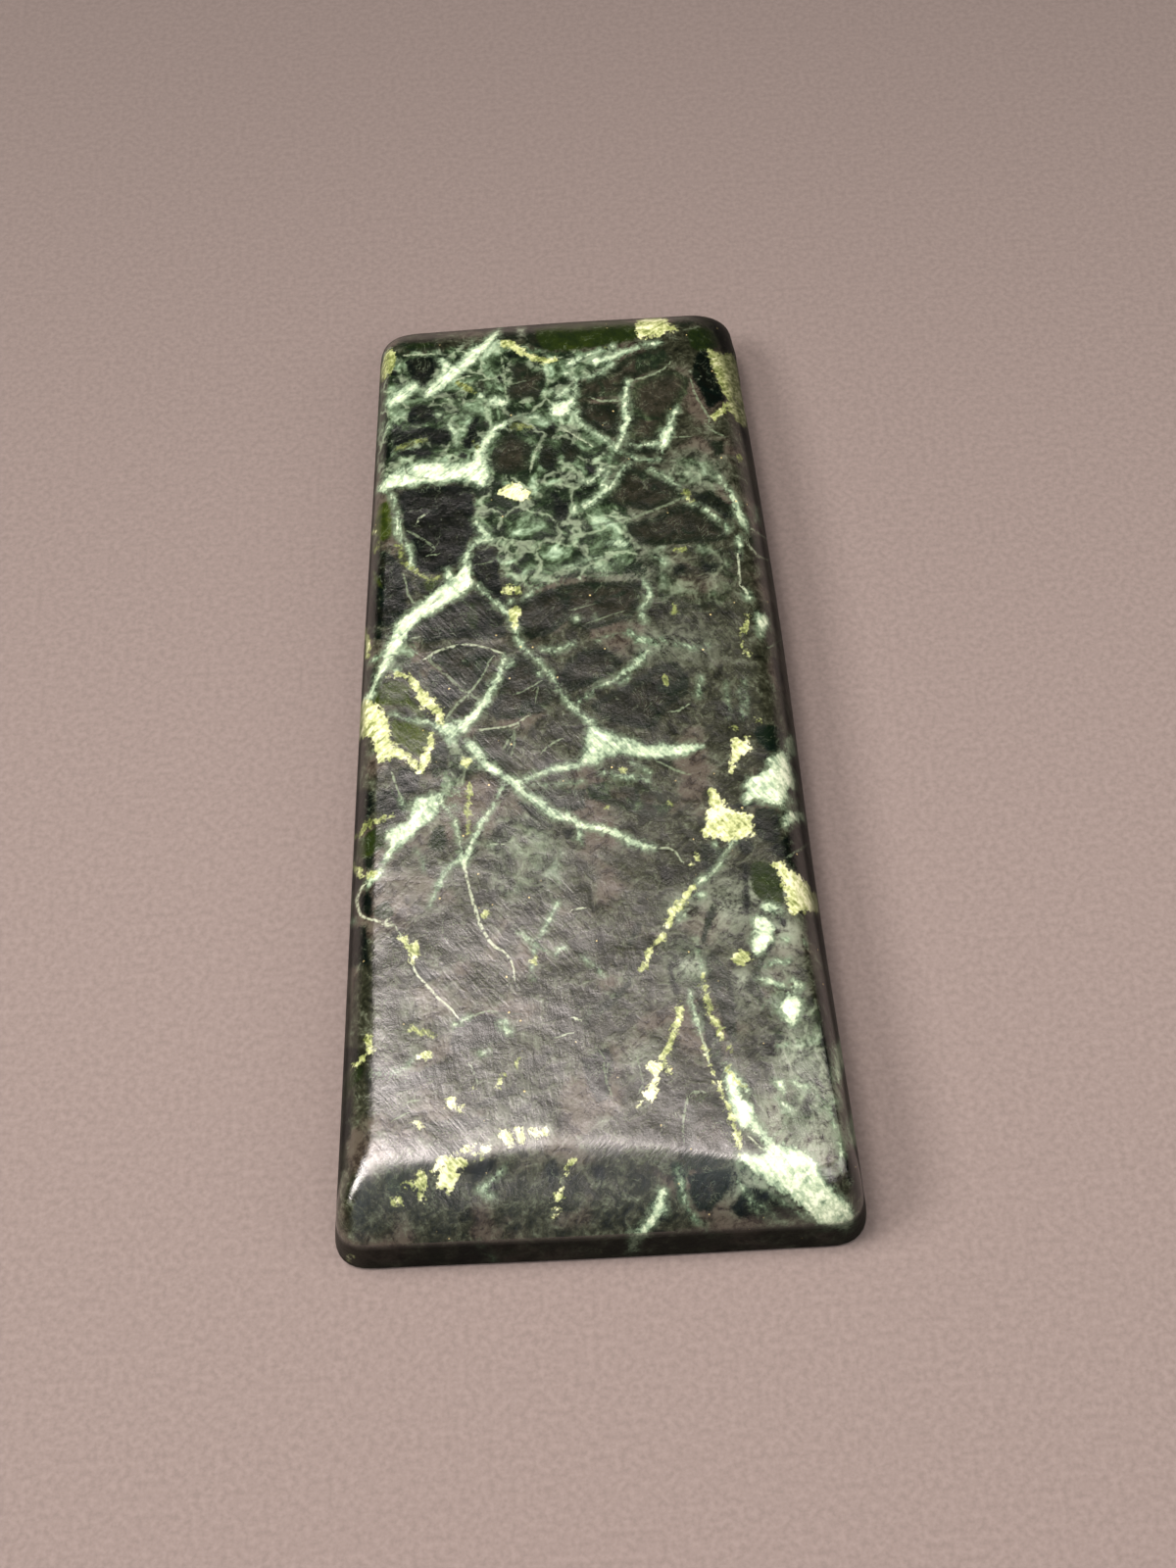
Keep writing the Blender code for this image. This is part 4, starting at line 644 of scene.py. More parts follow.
WARM_VEINS = [
    # Far half.
    (0.7, [(-3.0, 26.0, 0.5), (-2.4, 25.6, 0.5), (-1.8, 25.1, 0.5), (-1.3, 24.7, 0.4),
           (-0.6, 24.4, 0.4), (0.0, 24.4, 0.4)]),
    (0.3, [(-5.7, 23.0, 0.4), (-5.2, 22.7, 0.4), (-4.9, 22.3, 0.3)]),
    (0.2, [(-9.4, 18.3, 0.3), (-8.6, 18.6, 0.35), (-7.7, 18.9, 0.3)]),
    (0.1, [(-2.6, 19.5, 0.4), (-1.8, 19.4, 0.4)]),
    (0.3, [(-4.9, 18.6, 0.2), (-4.6, 18.0, 0.25)]),
    (0.5, [(3.1, 25.1, 0.25)]),
    (0.7, [(9.2, 19.4, 0.4), (9.6, 19.8, 0.45), (10.0, 20.3, 0.4)]),
    (0.4, [(10.4, 16.3, 0.4)]),
    (0.3, [(-9.4, 11.2, 0.3), (-9.2, 10.5, 0.4), (-8.9, 9.8, 0.3)]),
    (0.8, [(-10.9, 12.4, 0.3)]),
    (0.4, [(-10.9, 11.0, 0.2), (-10.5, 11.6, 0.2)]),
    (0.4, [(-8.7, 9.6, 0.2), (-8.2, 9.2, 0.25), (-7.7, 8.8, 0.2), (-7.1, 8.9, 0.2)]),
    (0.5, [(7.1, 14.0, 0.22), (7.2, 13.5, 0.25), (7.4, 13.2, 0.22)]),
    (0.5, [(6.3, 9.9, 0.3), (6.8, 9.9, 0.3)]),
    (0.4, [(5.9, 6.0, 0.25), (5.9, 5.6, 0.3)]),
    (0.7, [(-11.5, 5.7, 0.3), (-11.2, 4.5, 0.4), (-11.3, 3.9, 0.4)]),
    (0.8, [(-9.9, 2.4, 0.3), (-9.2, 2.4, 0.3), (-8.7, 2.1, 0.4), (-8.4, 1.5, 0.4),
           (-8.2, 0.9, 0.6), (-7.8, 0.4, 0.7), (-7.4, -0.1, 0.6), (-7.2, -0.6, 0.5),
           (-7.1, -0.9, 0.3)]),
    (0.8, [(-7.6, -1.6, 0.2), (-7.7, -2.1, 0.4), (-7.9, -2.7, 0.5), (-8.1, -3.3, 0.6),
           (-8.3, -3.9, 0.4)]),
    (0.7, [(-9.7, -2.2, 0.2), (-9.1, -2.8, 0.3), (-8.5, -3.4, 0.3)]),
    (0.5, [(5.1, 1.2, 0.3), (5.1, 0.95, 0.3)]),
    (0.7, [(9.9, 5.1, 0.15), (9.8, 4.5, 0.2), (9.5, 3.9, 0.2), (9.5, 3.1, 0.15)]),
    (0.9, [(9.7, 2.6, 0.2), (9.7, 2.4, 0.2)]),
    (0.9, [(9.35, -3.0, 0.3)]),
    (0.7, [(10.0, -1.8, 0.25)]),
    (0.8, [(-5.9, -3.5, 0.5)]),
    (0.7, [(-10.3, -2.8, 0.8)]),
    (0.6, [(8.6, -2.3, 0.25)]),
    (0.8, [(2.5, -4.5, 0.4)]),
    # Near half, left.
    (0.5, [(-12.1, -7.8, 0.2), (-11.6, -7.5, 0.25), (-11.3, -7.05, 0.4), (-10.8, -6.9, 0.25),
           (-10.3, -6.7, 0.2), (-9.8, -6.6, 0.15)]),
    (0.8, [(-12.2, -9.3, 0.3), (-11.8, -9.7, 0.35), (-11.5, -10.1, 0.2)]),
    (0.6, [(-11.1, -10.1, 0.3), (-10.8, -10.0, 0.3)]),
    (0.5, [(-5.7, -5.0, 0.25), (-5.75, -6.0, 0.22), (-5.85, -6.6, 0.22), (-5.8, -7.4, 0.22),
           (-5.85, -8.0, 0.18)]),
    (0.7, [(-5.1, -12.8, 0.3)]),
    (0.8, [(-9.4, -13.9, 0.28), (-9.2, -14.2, 0.2), (-9.1, -14.5, 0.2)]),
    (0.8, [(-2.7, -15.75, 0.3), (-2.6, -15.6, 0.2)]),
    (0.7, [(-11.1, -19.4, 0.35), (-11.0, -20.3, 0.4)]),
    (0.8, [(-12.0, -21.1, 0.15), (-11.4, -20.6, 0.2)]),
    (0.5, [(-8.9, -19.2, 0.25), (-8.4, -19.4, 0.35), (-7.9, -19.6, 0.3)]),
    (0.85, [(-8.6, -20.75, 0.35), (-8.2, -20.65, 0.45)]),
    (0.7, [(-3.6, -21.15, 0.14), (-3.7, -21.5, 0.2)]),
    (0.7, [(-4.65, -22.25, 0.16), (-4.4, -22.0, 0.12)]),
    (0.7, [(-5.9, -22.7, 0.24)]),
    (0.9, [(-4.75, -22.65, 0.16)]),
    (0.8, [(-8.9, -24.3, 0.15), (-8.6, -24.4, 0.18), (-8.6, -24.6, 0.15)]),
    (0.9, [(-6.1, -25.7, 0.2), (-5.95, -26.2, 0.15)]),
    (0.8, [(-1.2, -26.8, 0.3)]),
    (0.8, [(-1.6, -27.3, 0.15), (-1.5, -27.6, 0.2)]),
    (0.9, [(-1.9, -28.3, 0.3), (-2.0, -28.6, 0.3)]),
    (0.8, [(-2.1, -29.1, 0.24), (-2.3, -29.6, 0.15)]),
    (0.9, [(-12.4, -30.9, 0.3)]),
    # Near half, right.
    (0.8, [(6.0, -10.0, 0.14), (6.0, -10.3, 0.18)]),
    (0.8, [(5.8, -10.5, 0.2)]),
    (0.75, [(5.7, -11.9, 0.25), (5.3, -12.4, 0.38), (5.0, -12.8, 0.38), (4.6, -13.3, 0.46),
            (4.4, -13.8, 0.4), (4.1, -14.3, 0.16), (3.9, -14.8, 0.28), (3.6, -15.1, 0.14),
            (3.3, -15.5, 0.28), (3.2, -15.8, 0.26), (3.0, -16.2, 0.22), (2.8, -16.6, 0.26)]),
    (0.7, [(4.5, -18.7, 0.3), (4.6, -19.0, 0.36), (4.5, -19.4, 0.3), (4.4, -19.8, 0.36),
           (4.1, -20.4, 0.22), (3.9, -21.0, 0.3), (3.7, -21.3, 0.4), (3.4, -21.6, 0.3)]),
    (0.9, [(3.6, -22.4, 0.2), (3.8, -22.2, 0.25)]),
    (0.8, [(2.3, -23.9, 0.15), (2.1, -24.2, 0.15)]),
    (0.8, [(5.7, -21.0, 0.16), (5.8, -21.8, 0.16), (5.95, -22.5, 0.14), (6.2, -23.2, 0.14),
           (6.4, -23.9, 0.14), (6.6, -24.4, 0.2), (6.75, -25.0, 0.22), (6.85, -25.7, 0.26),
           (6.95, -26.3, 0.16), (7.0, -26.8, 0.12)]),
    (0.65, [(5.85, -17.0, 0.15), (5.88, -18.0, 0.22), (6.0, -18.7, 0.26), (6.1, -19.3, 0.28),
            (6.4, -19.9, 0.32), (6.55, -20.4, 0.28), (6.7, -20.9, 0.14), (6.9, -21.3, 0.1)]),
    (0.7, [(6.7, -22.2, 0.2), (7.0, -22.9, 0.3), (7.4, -23.4, 0.2)]),
    (0.4, [(4.8, -6.8, 0.25)]),
    (0.5, [(1.55, -6.85, 0.2)]),
]

# Hair-thin lines. The tone runs from 0, black, to 1, cream white.
THREADS = [
    # Far half.
    (0.8, [(-5.8, 23.3, 0.15), (-5.1, 23.5, 0.15)]),
    (0.7, [(-3.1, 24.8, 0.14), (-3.0, 23.5, 0.16), (-3.0, 22.5, 0.16), (-2.9, 21.6, 0.14)]),
    (0.8, [(-1.3, 17.8, 0.14), (-1.5, 17.0, 0.2), (-1.7, 16.2, 0.18)]),
    (0.8, [(-8.8, 25.4, 0.14), (-7.3, 25.4, 0.14)]),
    (0.5, [(-2.6, 22.7, 0.1), (-1.7, 22.9, 0.1)]),
    (0.7, [(4.4, 22.5, 0.22), (5.0, 22.6, 0.15), (5.9, 22.9, 0.14), (6.5, 23.3, 0.12),
           (6.9, 23.7, 0.1)]),
    (0.7, [(4.0, 21.0, 0.2), (3.2, 21.0, 0.22), (2.6, 21.0, 0.15), (2.1, 21.3, 0.1)]),
    (0.1, [(-0.5, 19.8, 0.2), (0.5, 19.2, 0.3), (1.3, 18.5, 0.3), (2.0, 17.9, 0.3),
           (2.6, 17.3, 0.3), (3.3, 16.6, 0.2)]),
    (0.9, [(0.3, 19.1, 0.08), (1.2, 18.3, 0.1), (1.9, 17.7, 0.08)]),
    (0.6, [(6.8, 18.0, 0.1), (7.5, 18.0, 0.08)]),
    (0.6, [(8.0, 22.2, 0.12), (8.1, 21.4, 0.14), (8.4, 20.4, 0.14), (8.7, 19.7, 0.14),
           (8.9, 19.1, 0.12)]),
    (0.6, [(8.6, 18.9, 0.12), (9.0, 18.3, 0.14), (9.6, 17.9, 0.12)]),
    (0.0, [(10.4, 20.9, 0.22), (10.9, 20.0, 0.22)]),
    (0.4, [(7.8, 26.2, 0.1), (8.7, 26.4, 0.1)]),
    (0.2, [(-8.9, 16.9, 0.12), (-8.85, 16.4, 0.12), (-8.3, 16.1, 0.12), (-7.6, 16.0, 0.12)]),
    (0.8, [(-8.26, 12.9, 0.12), (-8.1, 13.2, 0.16), (-7.8, 13.4, 0.12)]),
    (0.5, [(-8.7, 12.2, 0.16), (-8.2, 11.8, 0.18), (-7.5, 11.2, 0.18), (-7.3, 10.9, 0.12)]),
    (0.6, [(-7.6, 10.45, 0.1), (-7.2, 10.5, 0.1)]),
    (0.6, [(-9.06, 9.1, 0.12), (-8.9, 8.0, 0.15), (-8.6, 7.3, 0.12)]),
    (0.2, [(-7.5, 7.1, 0.14), (-7.1, 7.5, 0.14)]),
    (0.5, [(-4.9, 9.6, 0.1), (-4.3, 9.7, 0.1), (-3.9, 9.9, 0.1)]),
    (0.5, [(4.0, 12.3, 0.15), (5.0, 12.7, 0.18), (6.0, 13.1, 0.18), (6.8, 13.5, 0.18),
           (7.1, 13.6, 0.15)]),
    (0.9, [(9.75, 9.2, 0.14), (9.7, 8.2, 0.14), (9.7, 7.3, 0.14), (10.0, 6.7, 0.16)]),
    (0.8, [(10.7, 11.1, 0.14), (11.2, 10.7, 0.14), (11.6, 10.4, 0.14)]),
    (0.8, [(10.3, 10.2, 0.14), (10.6, 9.6, 0.14), (11.0, 9.1, 0.14), (11.5, 8.9, 0.14)]),
    (0.5, [(0.2, 6.1, 0.08), (1.4, 6.4, 0.08)]),
    (0.5, [(1.2, 5.2, 0.08), (2.4, 5.6, 0.1), (3.0, 5.8, 0.08)]),
    (0.1, [(1.3, 11.8, 0.2), (3.5, 12.2, 0.2)]),
    # Middle.
    (0.85, [(-7.9, 3.4, 0.18), (-7.4, 3.8, 0.15), (-6.8, 4.0, 0.18), (-6.2, 4.15, 0.15),
            (-5.6, 4.2, 0.12), (-5.0, 4.05, 0.12), (-4.4, 3.8, 0.12), (-3.8, 3.5, 0.12)]),
    (0.5, [(-7.7, 3.2, 0.22), (-7.3, 2.8, 0.22), (-6.8, 2.2, 0.2), (-6.3, 1.6, 0.2),
           (-5.9, 1.1, 0.15), (-5.5, 0.8, 0.15), (-5.1, 0.5, 0.15)]),
    (0.7, [(-4.3, 3.2, 0.1), (-4.6, 2.5, 0.12), (-4.9, 1.9, 0.12), (-5.3, 1.3, 0.14),
           (-5.7, 0.8, 0.15), (-6.2, 0.3, 0.18), (-6.6, -0.2, 0.2), (-6.8, -0.5, 0.2)]),
    (0.6, [(-1.7, 1.4, 0.1), (-2.4, 1.0, 0.1), (-3.0, 0.7, 0.1)]),
    (0.5, [(-1.8, 1.0, 0.08), (-2.0, 0.2, 0.08)]),
    (0.2, [(-6.1, -3.3, 0.1), (-5.6, -3.2, 0.12)]),
    (0.8, [(-5.0, -1.5, 0.14), (-4.4, -1.45, 0.15), (-3.6, -1.4, 0.15), (-3.0, -1.2, 0.14),
           (-2.5, -0.8, 0.12)]),
    (0.5, [(-3.2, -1.6, 0.15), (-3.2, -2.4, 0.18), (-3.4, -3.2, 0.15)]),
    (0.6, [(-3.5, -2.2, 0.12), (-3.8, -2.8, 0.12)]),
    (0.7, [(-1.7, -3.1, 0.12), (-1.3, -2.7, 0.14), (-0.8, -2.4, 0.12)]),
    (0.7, [(6.2, -0.6, 0.14), (5.7, -1.0, 0.12), (5.3, -1.0, 0.1)]),
    (0.6, [(11.0, 2.9, 0.14), (11.8, 3.4, 0.14)]),
    (0.6, [(4.5, -4.2, 0.12), (5.2, -4.7, 0.15), (5.9, -5.0, 0.12)]),
    (0.7, [(-9.8, -4.0, 0.1), (-9.6, -4.8, 0.12), (-9.3, -5.6, 0.12)]),
    # Near half, left.
    (0.95, [(-6.1, -9.7, 0.2), (-6.0, -10.4, 0.16), (-5.9, -11.0, 0.15), (-5.8, -11.5, 0.15),
            (-5.65, -12.1, 0.2), (-5.5, -12.7, 0.16), (-5.4, -13.2, 0.16), (-5.2, -13.8, 0.2),
            (-4.9, -14.4, 0.16), (-4.6, -14.8, 0.2), (-4.3, -15.0, 0.22), (-4.0, -15.3, 0.15),
            (-3.8, -15.7, 0.12), (-3.7, -16.2, 0.1), (-3.7, -16.6, 0.08)]),
    (0.95, [(-11.4, -10.7, 0.16), (-11.7, -11.1, 0.18), (-11.8, -11.5, 0.24),
            (-11.75, -11.9, 0.18), (-11.6, -12.4, 0.16), (-11.2, -12.7, 0.14),
            (-10.8, -12.8, 0.14), (-10.4, -13.0, 0.16), (-10.1, -13.2, 0.14)]),
    (0.8, [(-10.0, -12.8, 0.08), (-9.7, -13.3, 0.1), (-9.4, -13.9, 0.14)]),
    (0.95, [(-8.85, -15.6, 0.12), (-8.6, -16.2, 0.13), (-8.2, -16.7, 0.16),
            (-7.8, -17.2, 0.14), (-7.5, -17.6, 0.13), (-7.2, -17.9, 0.12), (-6.9, -18.2, 0.1),
            (-6.7, -18.6, 0.08)]),
    (0.8, [(-4.7, -8.7, 0.08), (-4.1, -8.7, 0.08)]),
    (0.7, [(-6.0, -18.7, 0.12), (-5.5, -18.5, 0.1), (-5.0, -18.4, 0.1), (-4.5, -18.5, 0.1)]),
    (0.15, [(-4.8, -18.55, 0.15), (-4.2, -18.6, 0.22), (-3.4, -18.7, 0.15)]),
    (0.15, [(-6.0, -20.5, 0.14), (-5.3, -20.3, 0.18), (-4.6, -20.1, 0.14)]),
    (0.6, [(-6.0, -21.4, 0.08), (-5.8, -21.9, 0.1), (-5.7, -22.3, 0.08)]),
    (0.7, [(-9.2, -23.2, 0.08), (-8.8, -23.1, 0.1)]),
    (0.6, [(-9.9, -24.1, 0.1), (-9.3, -23.8, 0.12)]),
    (0.8, [(-1.6, -20.1, 0.1), (-1.3, -20.0, 0.14), (-1.0, -19.9, 0.1)]),
    (0.9, [(-0.7, -19.1, 0.16), (-0.6, -19.15, 0.16)]),
    (0.9, [(-0.5, -12.9, 0.12), (-0.1, -12.8, 0.16)]),
    # Near half, right.
    (0.8, [(3.9, -9.45, 0.12), (4.6, -9.5, 0.14), (5.0, -9.8, 0.1), (5.2, -10.3, 0.08)]),
    (0.1, [(2.5, -16.1, 0.12), (2.2, -16.6, 0.2), (1.8, -17.3, 0.2), (1.4, -17.7, 0.12)]),
    (0.5, [(2.3, -21.5, 0.1), (2.4, -22.3, 0.1), (2.5, -22.9, 0.1), (2.3, -23.3, 0.1)]),
    (0.5, [(0.3, -20.8, 0.07), (0.6, -21.3, 0.08), (1.0, -22.0, 0.07)]),
    (0.5, [(0.6, -21.6, 0.1), (0.7, -22.6, 0.1), (0.9, -23.4, 0.1)]),
    (0.8, [(5.5, -20.3, 0.14), (5.7, -21.0, 0.15), (5.8, -21.8, 0.15)]),
    (0.6, [(4.6, -23.9, 0.15), (4.45, -24.5, 0.13), (4.3, -25.2, 0.1), (4.3, -26.0, 0.08)]),
    (0.6, [(5.0, -23.5, 0.15), (5.4, -23.5, 0.15)]),
    (0.95, [(7.6, -26.15, 0.1), (8.0, -26.7, 0.1)]),
    (0.1, [(0.8, -26.5, 0.1), (1.4, -26.8, 0.1)]),
    (0.1, [(2.1, -26.7, 0.1), (2.7, -27.0, 0.12), (3.5, -27.4, 0.1)]),
    (0.5, [(10.8, -10.4, 0.15), (11.5, -10.0, 0.2), (12.1, -9.6, 0.15)]),
    (0.1, [(11.75, -24.9, 0.12), (11.8, -25.5, 0.12)]),
]

# Soft lighter clouds in the ground, as x, y, radius and strength.
CLOUDS = [
    (-6.3, 11.3, 0.6, 0.5),
    (3.3, 13.6, 0.5, 0.5),
    (6.4, 11.9, 0.5, 0.5),
    (7.8, 11.1, 0.4, 0.5),
    (7.8, 15.4, 1.4, 0.4),
    (3.0, 9.6, 2.4, 0.45),
    (-0.8, 10.4, 1.3, 0.5),
    (-1.9, 26.8, 0.4, 0.8),
    (-2.4, 22.1, 0.3, 0.6),
    (4.4, 3.4, 1.0, 0.4),
    (6.6, 3.4, 1.4, 0.25),
    (-8.0, -7.1, 0.8, 0.5),
    (-3.0, -9.5, 2.0, 0.25),
    (-8.6, -11.0, 1.2, 0.12),
    (7.7, -8.4, 0.6, 0.3),
    (9.3, -11.8, 0.5, 0.7),
    (7.2, -13.8, 1.4, 0.35),
    (5.0, -16.5, 0.9, 0.4),
    (7.6, -18.8, 0.8, 0.3),
    (9.9, -17.2, 1.0, 0.35),
    (-3.6, -23.6, 2.2, 0.15),
    (-8.0, -18.4, 1.6, 0.15),
    (10.4, -21.6, 1.3, 0.95),
    (10.9, -23.4, 1.0, 0.8),
    (10.4, -26.0, 1.5, 0.75),
    (8.6, -24.8, 1.1, 0.5),
    (9.6, -12.4, 0.9, 0.8),
    (10.2, -15.0, 0.9, 0.8),
    (5.4, -16.4, 0.7, 0.75),
    (7.8, -17.4, 0.5, 0.8),
    (7.6, -12.6, 1.4, 0.4),
    (2.2, -21.6, 1.0, 0.3),
    (7.4, -28.6, 1.2, 0.6),
    (9.4, -28.0, 1.5, 0.7),
    (5.0, -13.2, 0.8, 0.6),
]


def unit(vector):
    """The vector's direction, with a length of 1."""
    return vector / np.linalg.norm(vector)


def corner_steps(index):
    """How many points the rounding of this corner has."""
    return SHOULDER_STEPS if index == SHOULDER else CORNER_STEPS


def outline(corners, bows):
    """Points round a polygon whose corners are rounded and whose sides are bowed."""
    places = [np.array(corner[:2]) for corner in corners]
    points = []
    for index, corner in enumerate(places):
        after = (index + 1) % len(places)
        to_next = unit(places[after] - corner)
        to_last = unit(places[index - 1] - corner)
        start = corner + to_last * corners[index][2]
        end = corner + to_next * corners[index][2]
        steps = corner_steps(index)
        for share in np.arange(steps) / steps:
            first = start + (corner - start) * share
            second = corner + (end - corner) * share
            points.append(first + (second - first) * share)
        side_end = places[after] - to_next * corners[after][2]
        outward = np.array((to_next[1], -to_next[0]))
        for share in np.arange(SIDE_STEPS[index]) / SIDE_STEPS[index]:
            bow = bows[index] * np.sin(np.pi * share) ** 2
            points.append(end + (side_end - end) * share + outward * bow)
    return np.array(points)


def roundness_round():
    """The bevel's roundness at each outline point, blended from side to side at the corners."""
    values = []
    for index, side_steps in enumerate(SIDE_STEPS):
        steps = corner_steps(index)
        before = BEVEL_ROUNDNESS[index - 1]
        here = BEVEL_ROUNDNESS[index]
        for share in np.arange(steps) / steps:
            eased = share * share * (3.0 - 2.0 * share)
            values.append(before + (here - before) * eased)
        values.extend([here] * side_steps)
    return np.array(values)[:, None]


def pulled_in(points, distance):
    """The outline moved inward, square to its own run, by the distance."""
    run = np.roll(points, -1, axis=0) - np.roll(points, 1, axis=0)
    run = run / np.linalg.norm(run, axis=1)[:, None]
    return points + np.stack([-run[:, 1], run[:, 0]], axis=1) * distance


def patch(near, right, far, left):
    """A net of points spanned between four sides, and how far each is across and along."""
    across = np.linspace(0.0, 1.0, len(near))[None, :, None]
    along = np.linspace(0.0, 1.0, len(right))[:, None, None]
    net = near[None] * (1.0 - along) + far[None] * along
    net = net + left[:, None] * (1.0 - across) + right[:, None] * across
    low = near[0] * (1.0 - across) + near[-1] * across
    high = far[0] * (1.0 - across) + far[-1] * across
    return net - low * (1.0 - along) - high * along, across, along


def four_sides(loop, every=1):
    """The near, right, far and left sides of a loop, cut at the middles of its outer corners.

    Each side runs left to right or near to far.
    """
    width = SIDE_STEPS[0] + CORNER_STEPS
    length = SIDE_STEPS[-1] + CORNER_STEPS
    ring = closed(loop)
    near = ring[: width + 1]
    right = ring[width: width + length + 1]
    far = ring[width + length: 2 * width + length + 1][::-1]
    left = ring[2 * width + length:][::-1]
    return near[::every], right[::every], far[::every], left[::every]


def closed(row):
    """The row with its first entry once more at the end."""
    return np.concatenate([row, row[:1]])


def level(points, height):
    """The flat points at one height."""
    return np.column_stack([points, np.full(len(points), height)])


def softened(points, crease):
    """The points lowered a little near the crease, which is how a polisher rounds it."""
    tree = KDTree(len(crease))
    for index, corner in enumerate(crease):
        tree.insert((*corner, 0.0), index)
    tree.balance()
    lowest = WALL_HEIGHT + SOFTENED_FROM * (CREASE_HEIGHT - WALL_HEIGHT)
    for index in np.nonzero(points[:, 2] > lowest)[0]:
        x, y, z = points[index]
        gap = tree.find((x, y, 0.0))[2]
        points[index, 2] = z - CREASE_DROP * np.exp(-gap / CREASE_REACH)
    return points


# The flat layout of the skin on a unit square. The top and the base lie at one scale, and the
# wall is a strip along the lower edge, stretched upward.
LAYOUT_SCALE = 0.0158
LAYOUT_MARGIN = 0.01
TOP_MIDDLE = np.array((0.5, 0.762))
BASE_MIDDLE = np.array((0.5, 0.315))
BASE_SHRINKAGE = 0.96
WALL_STRETCH = 1.6


def top_layout(points):
    """The layout of points of the top, with the stone's length along U."""
    turned = np.stack([points[..., 1], -points[..., 0]], axis=-1)
    return turned * LAYOUT_SCALE + TOP_MIDDLE


def base_layout(points):
    """The layout of points of the base."""
    turned = np.stack([points[:, 1], points[:, 0]], axis=1)
    return turned * LAYOUT_SCALE * BASE_SHRINKAGE + BASE_MIDDLE


def wall_layout(count, height):
    """The layout of one closed row of the wall."""
    along = np.linspace(LAYOUT_MARGIN, 1.0 - LAYOUT_MARGIN, count + 1)
    up = LAYOUT_MARGIN + height * LAYOUT_SCALE * WALL_STRETCH
    return np.stack([along, np.full(count + 1, up)], axis=1)


class Skin:
    """Points, faces and flat layout of the growing mesh."""

    def __init__(self):
        self.points = []
        self.faces = []
        self.layouts = []
        self.count = 0

    def add(self, points):
        """Takes in more points and gives their numbers."""
        start = self.count
        self.points.append(points)
        self.count += len(points)
        return np.arange(start, self.count)

    def band(self, low, high, low_flat, high_flat):
        """Takes in quads between two closed rows."""
        count = len(low)
        for index in range(count):
            after = (index + 1) % count
            self.faces.append((low[index], low[after], high[after], high[index]))
            flat = low_flat[index], low_flat[index + 1], high_flat[index + 1], high_flat[index]
            self.layouts.append(flat)


def add_table(skin, table):
    """Adds the crowned table as a net. Gives the vertices round its edge."""
    net, across, along = patch(*four_sides(table))
    rows, columns = net.shape[:2]
    crown = (1.0 - (2.0 * across - 1.0) ** 2) * (1.0 - (2.0 * along - 1.0) ** 2)
    heights = CREASE_HEIGHT + (THICKNESS - CREASE_HEIGHT) * crown[..., 0]
    places = np.column_stack([net.reshape(-1, 2), heights.ravel()])
    ids = skin.add(places).reshape(rows, columns)
    flat = top_layout(net)
    for row in range(rows - 1):
        for column in range(columns - 1):
            ring = (row, column), (row, column + 1), (row + 1, column + 1), (row + 1, column)
            skin.faces.append(tuple(ids[place] for place in ring))
            skin.layouts.append(tuple(flat[place] for place in ring))
    return np.concatenate([ids[0, :-1], ids[:-1, -1], ids[-1, :0:-1], ids[:0:-1, 0]])


def add_bevel(skin, above, table, edge, roll):
    """Adds the bevel, from the table outward and down. Gives its lowest vertices."""
    span = edge - table
    reach = np.linalg.norm(span, axis=1)[:, None]
    drop = CREASE_HEIGHT - WALL_HEIGHT
    last = level(table, CREASE_HEIGHT)
    travelled = np.zeros((len(table), 1))
    above_flat = closed(top_layout(table))
    for step in range(1, BEVEL_STEPS + 1):
        share = 1.0 - step / BEVEL_STEPS
        turn = share * np.pi / 2.0
        inward = share + (1.0 - np.cos(turn) - share) * roll
        upward = share + (np.sin(turn) - share) * roll
        here = np.column_stack([edge - span * inward, WALL_HEIGHT + drop * upward])
        travelled = travelled + np.linalg.norm(here - last, axis=1)[:, None]
        last = here
        below = skin.add(here)
        below_flat = closed(top_layout(table + span / reach * travelled))
        skin.band(below, above, below_flat, above_flat)
        above = below
        above_flat = below_flat
    return above


def add_wall(skin, above, edge, girdle, foot):
    """Adds the wall and the chamfered foot. Gives the vertices round the base."""
    rows = []
    for step in range(1, WALL_STEPS + 1):
        share = step / WALL_STEPS
        height = WALL_HEIGHT + (FOOT_CHAMFER - WALL_HEIGHT) * share
        rows.append((edge + (girdle - edge) * share, height))
    rows.append((foot, 0.0))
    above_flat = wall_layout(len(foot), WALL_HEIGHT)
    for points, height in rows:
        below = skin.add(level(points, height))
        below_flat = wall_layout(len(foot), height)
        skin.band(below, above, below_flat, above_flat)
        above = below
        above_flat = below_flat
    return above


def add_base(skin, above, foot):
    """Adds the sawn base on a coarser net, whose outer faces take in every vertex above."""
    net = patch(*four_sides(foot, BASE_COARSENESS))[0]
    rows, columns = net.shape[:2]
    ids = np.zeros((rows, columns), dtype=int)
    inner = skin.add(level(net[1:-1, 1:-1].reshape(-1, 2), 0.0))
    ids[1:-1, 1:-1] = inner.reshape(rows - 2, columns - 2)
    ids[0], ids[:, -1], ids[-1], ids[:, 0] = four_sides(above, BASE_COARSENESS)
    near, right, far, left = four_sides(above)
    flat = base_layout(np.concatenate(skin.points))
    for row in range(rows - 1):
        between_y = slice(row * BASE_COARSENESS + 1, (row + 1) * BASE_COARSENESS)
        for column in range(columns - 1):
            between_x = slice(column * BASE_COARSENESS + 1, (column + 1) * BASE_COARSENESS)
            face = [ids[row, column]]
            if column == 0:
                face.extend(left[between_y])
            face.append(ids[row + 1, column])
            if row == rows - 2:
                face.extend(far[between_x])
            face.append(ids[row + 1, column + 1])
            if column == columns - 2:
                face.extend(right[between_y][::-1])
            face.append(ids[row, column + 1])
            if row == 0:
                face.extend(near[between_x][::-1])
            skin.faces.append(tuple(face))
            skin.layouts.append(flat[face])


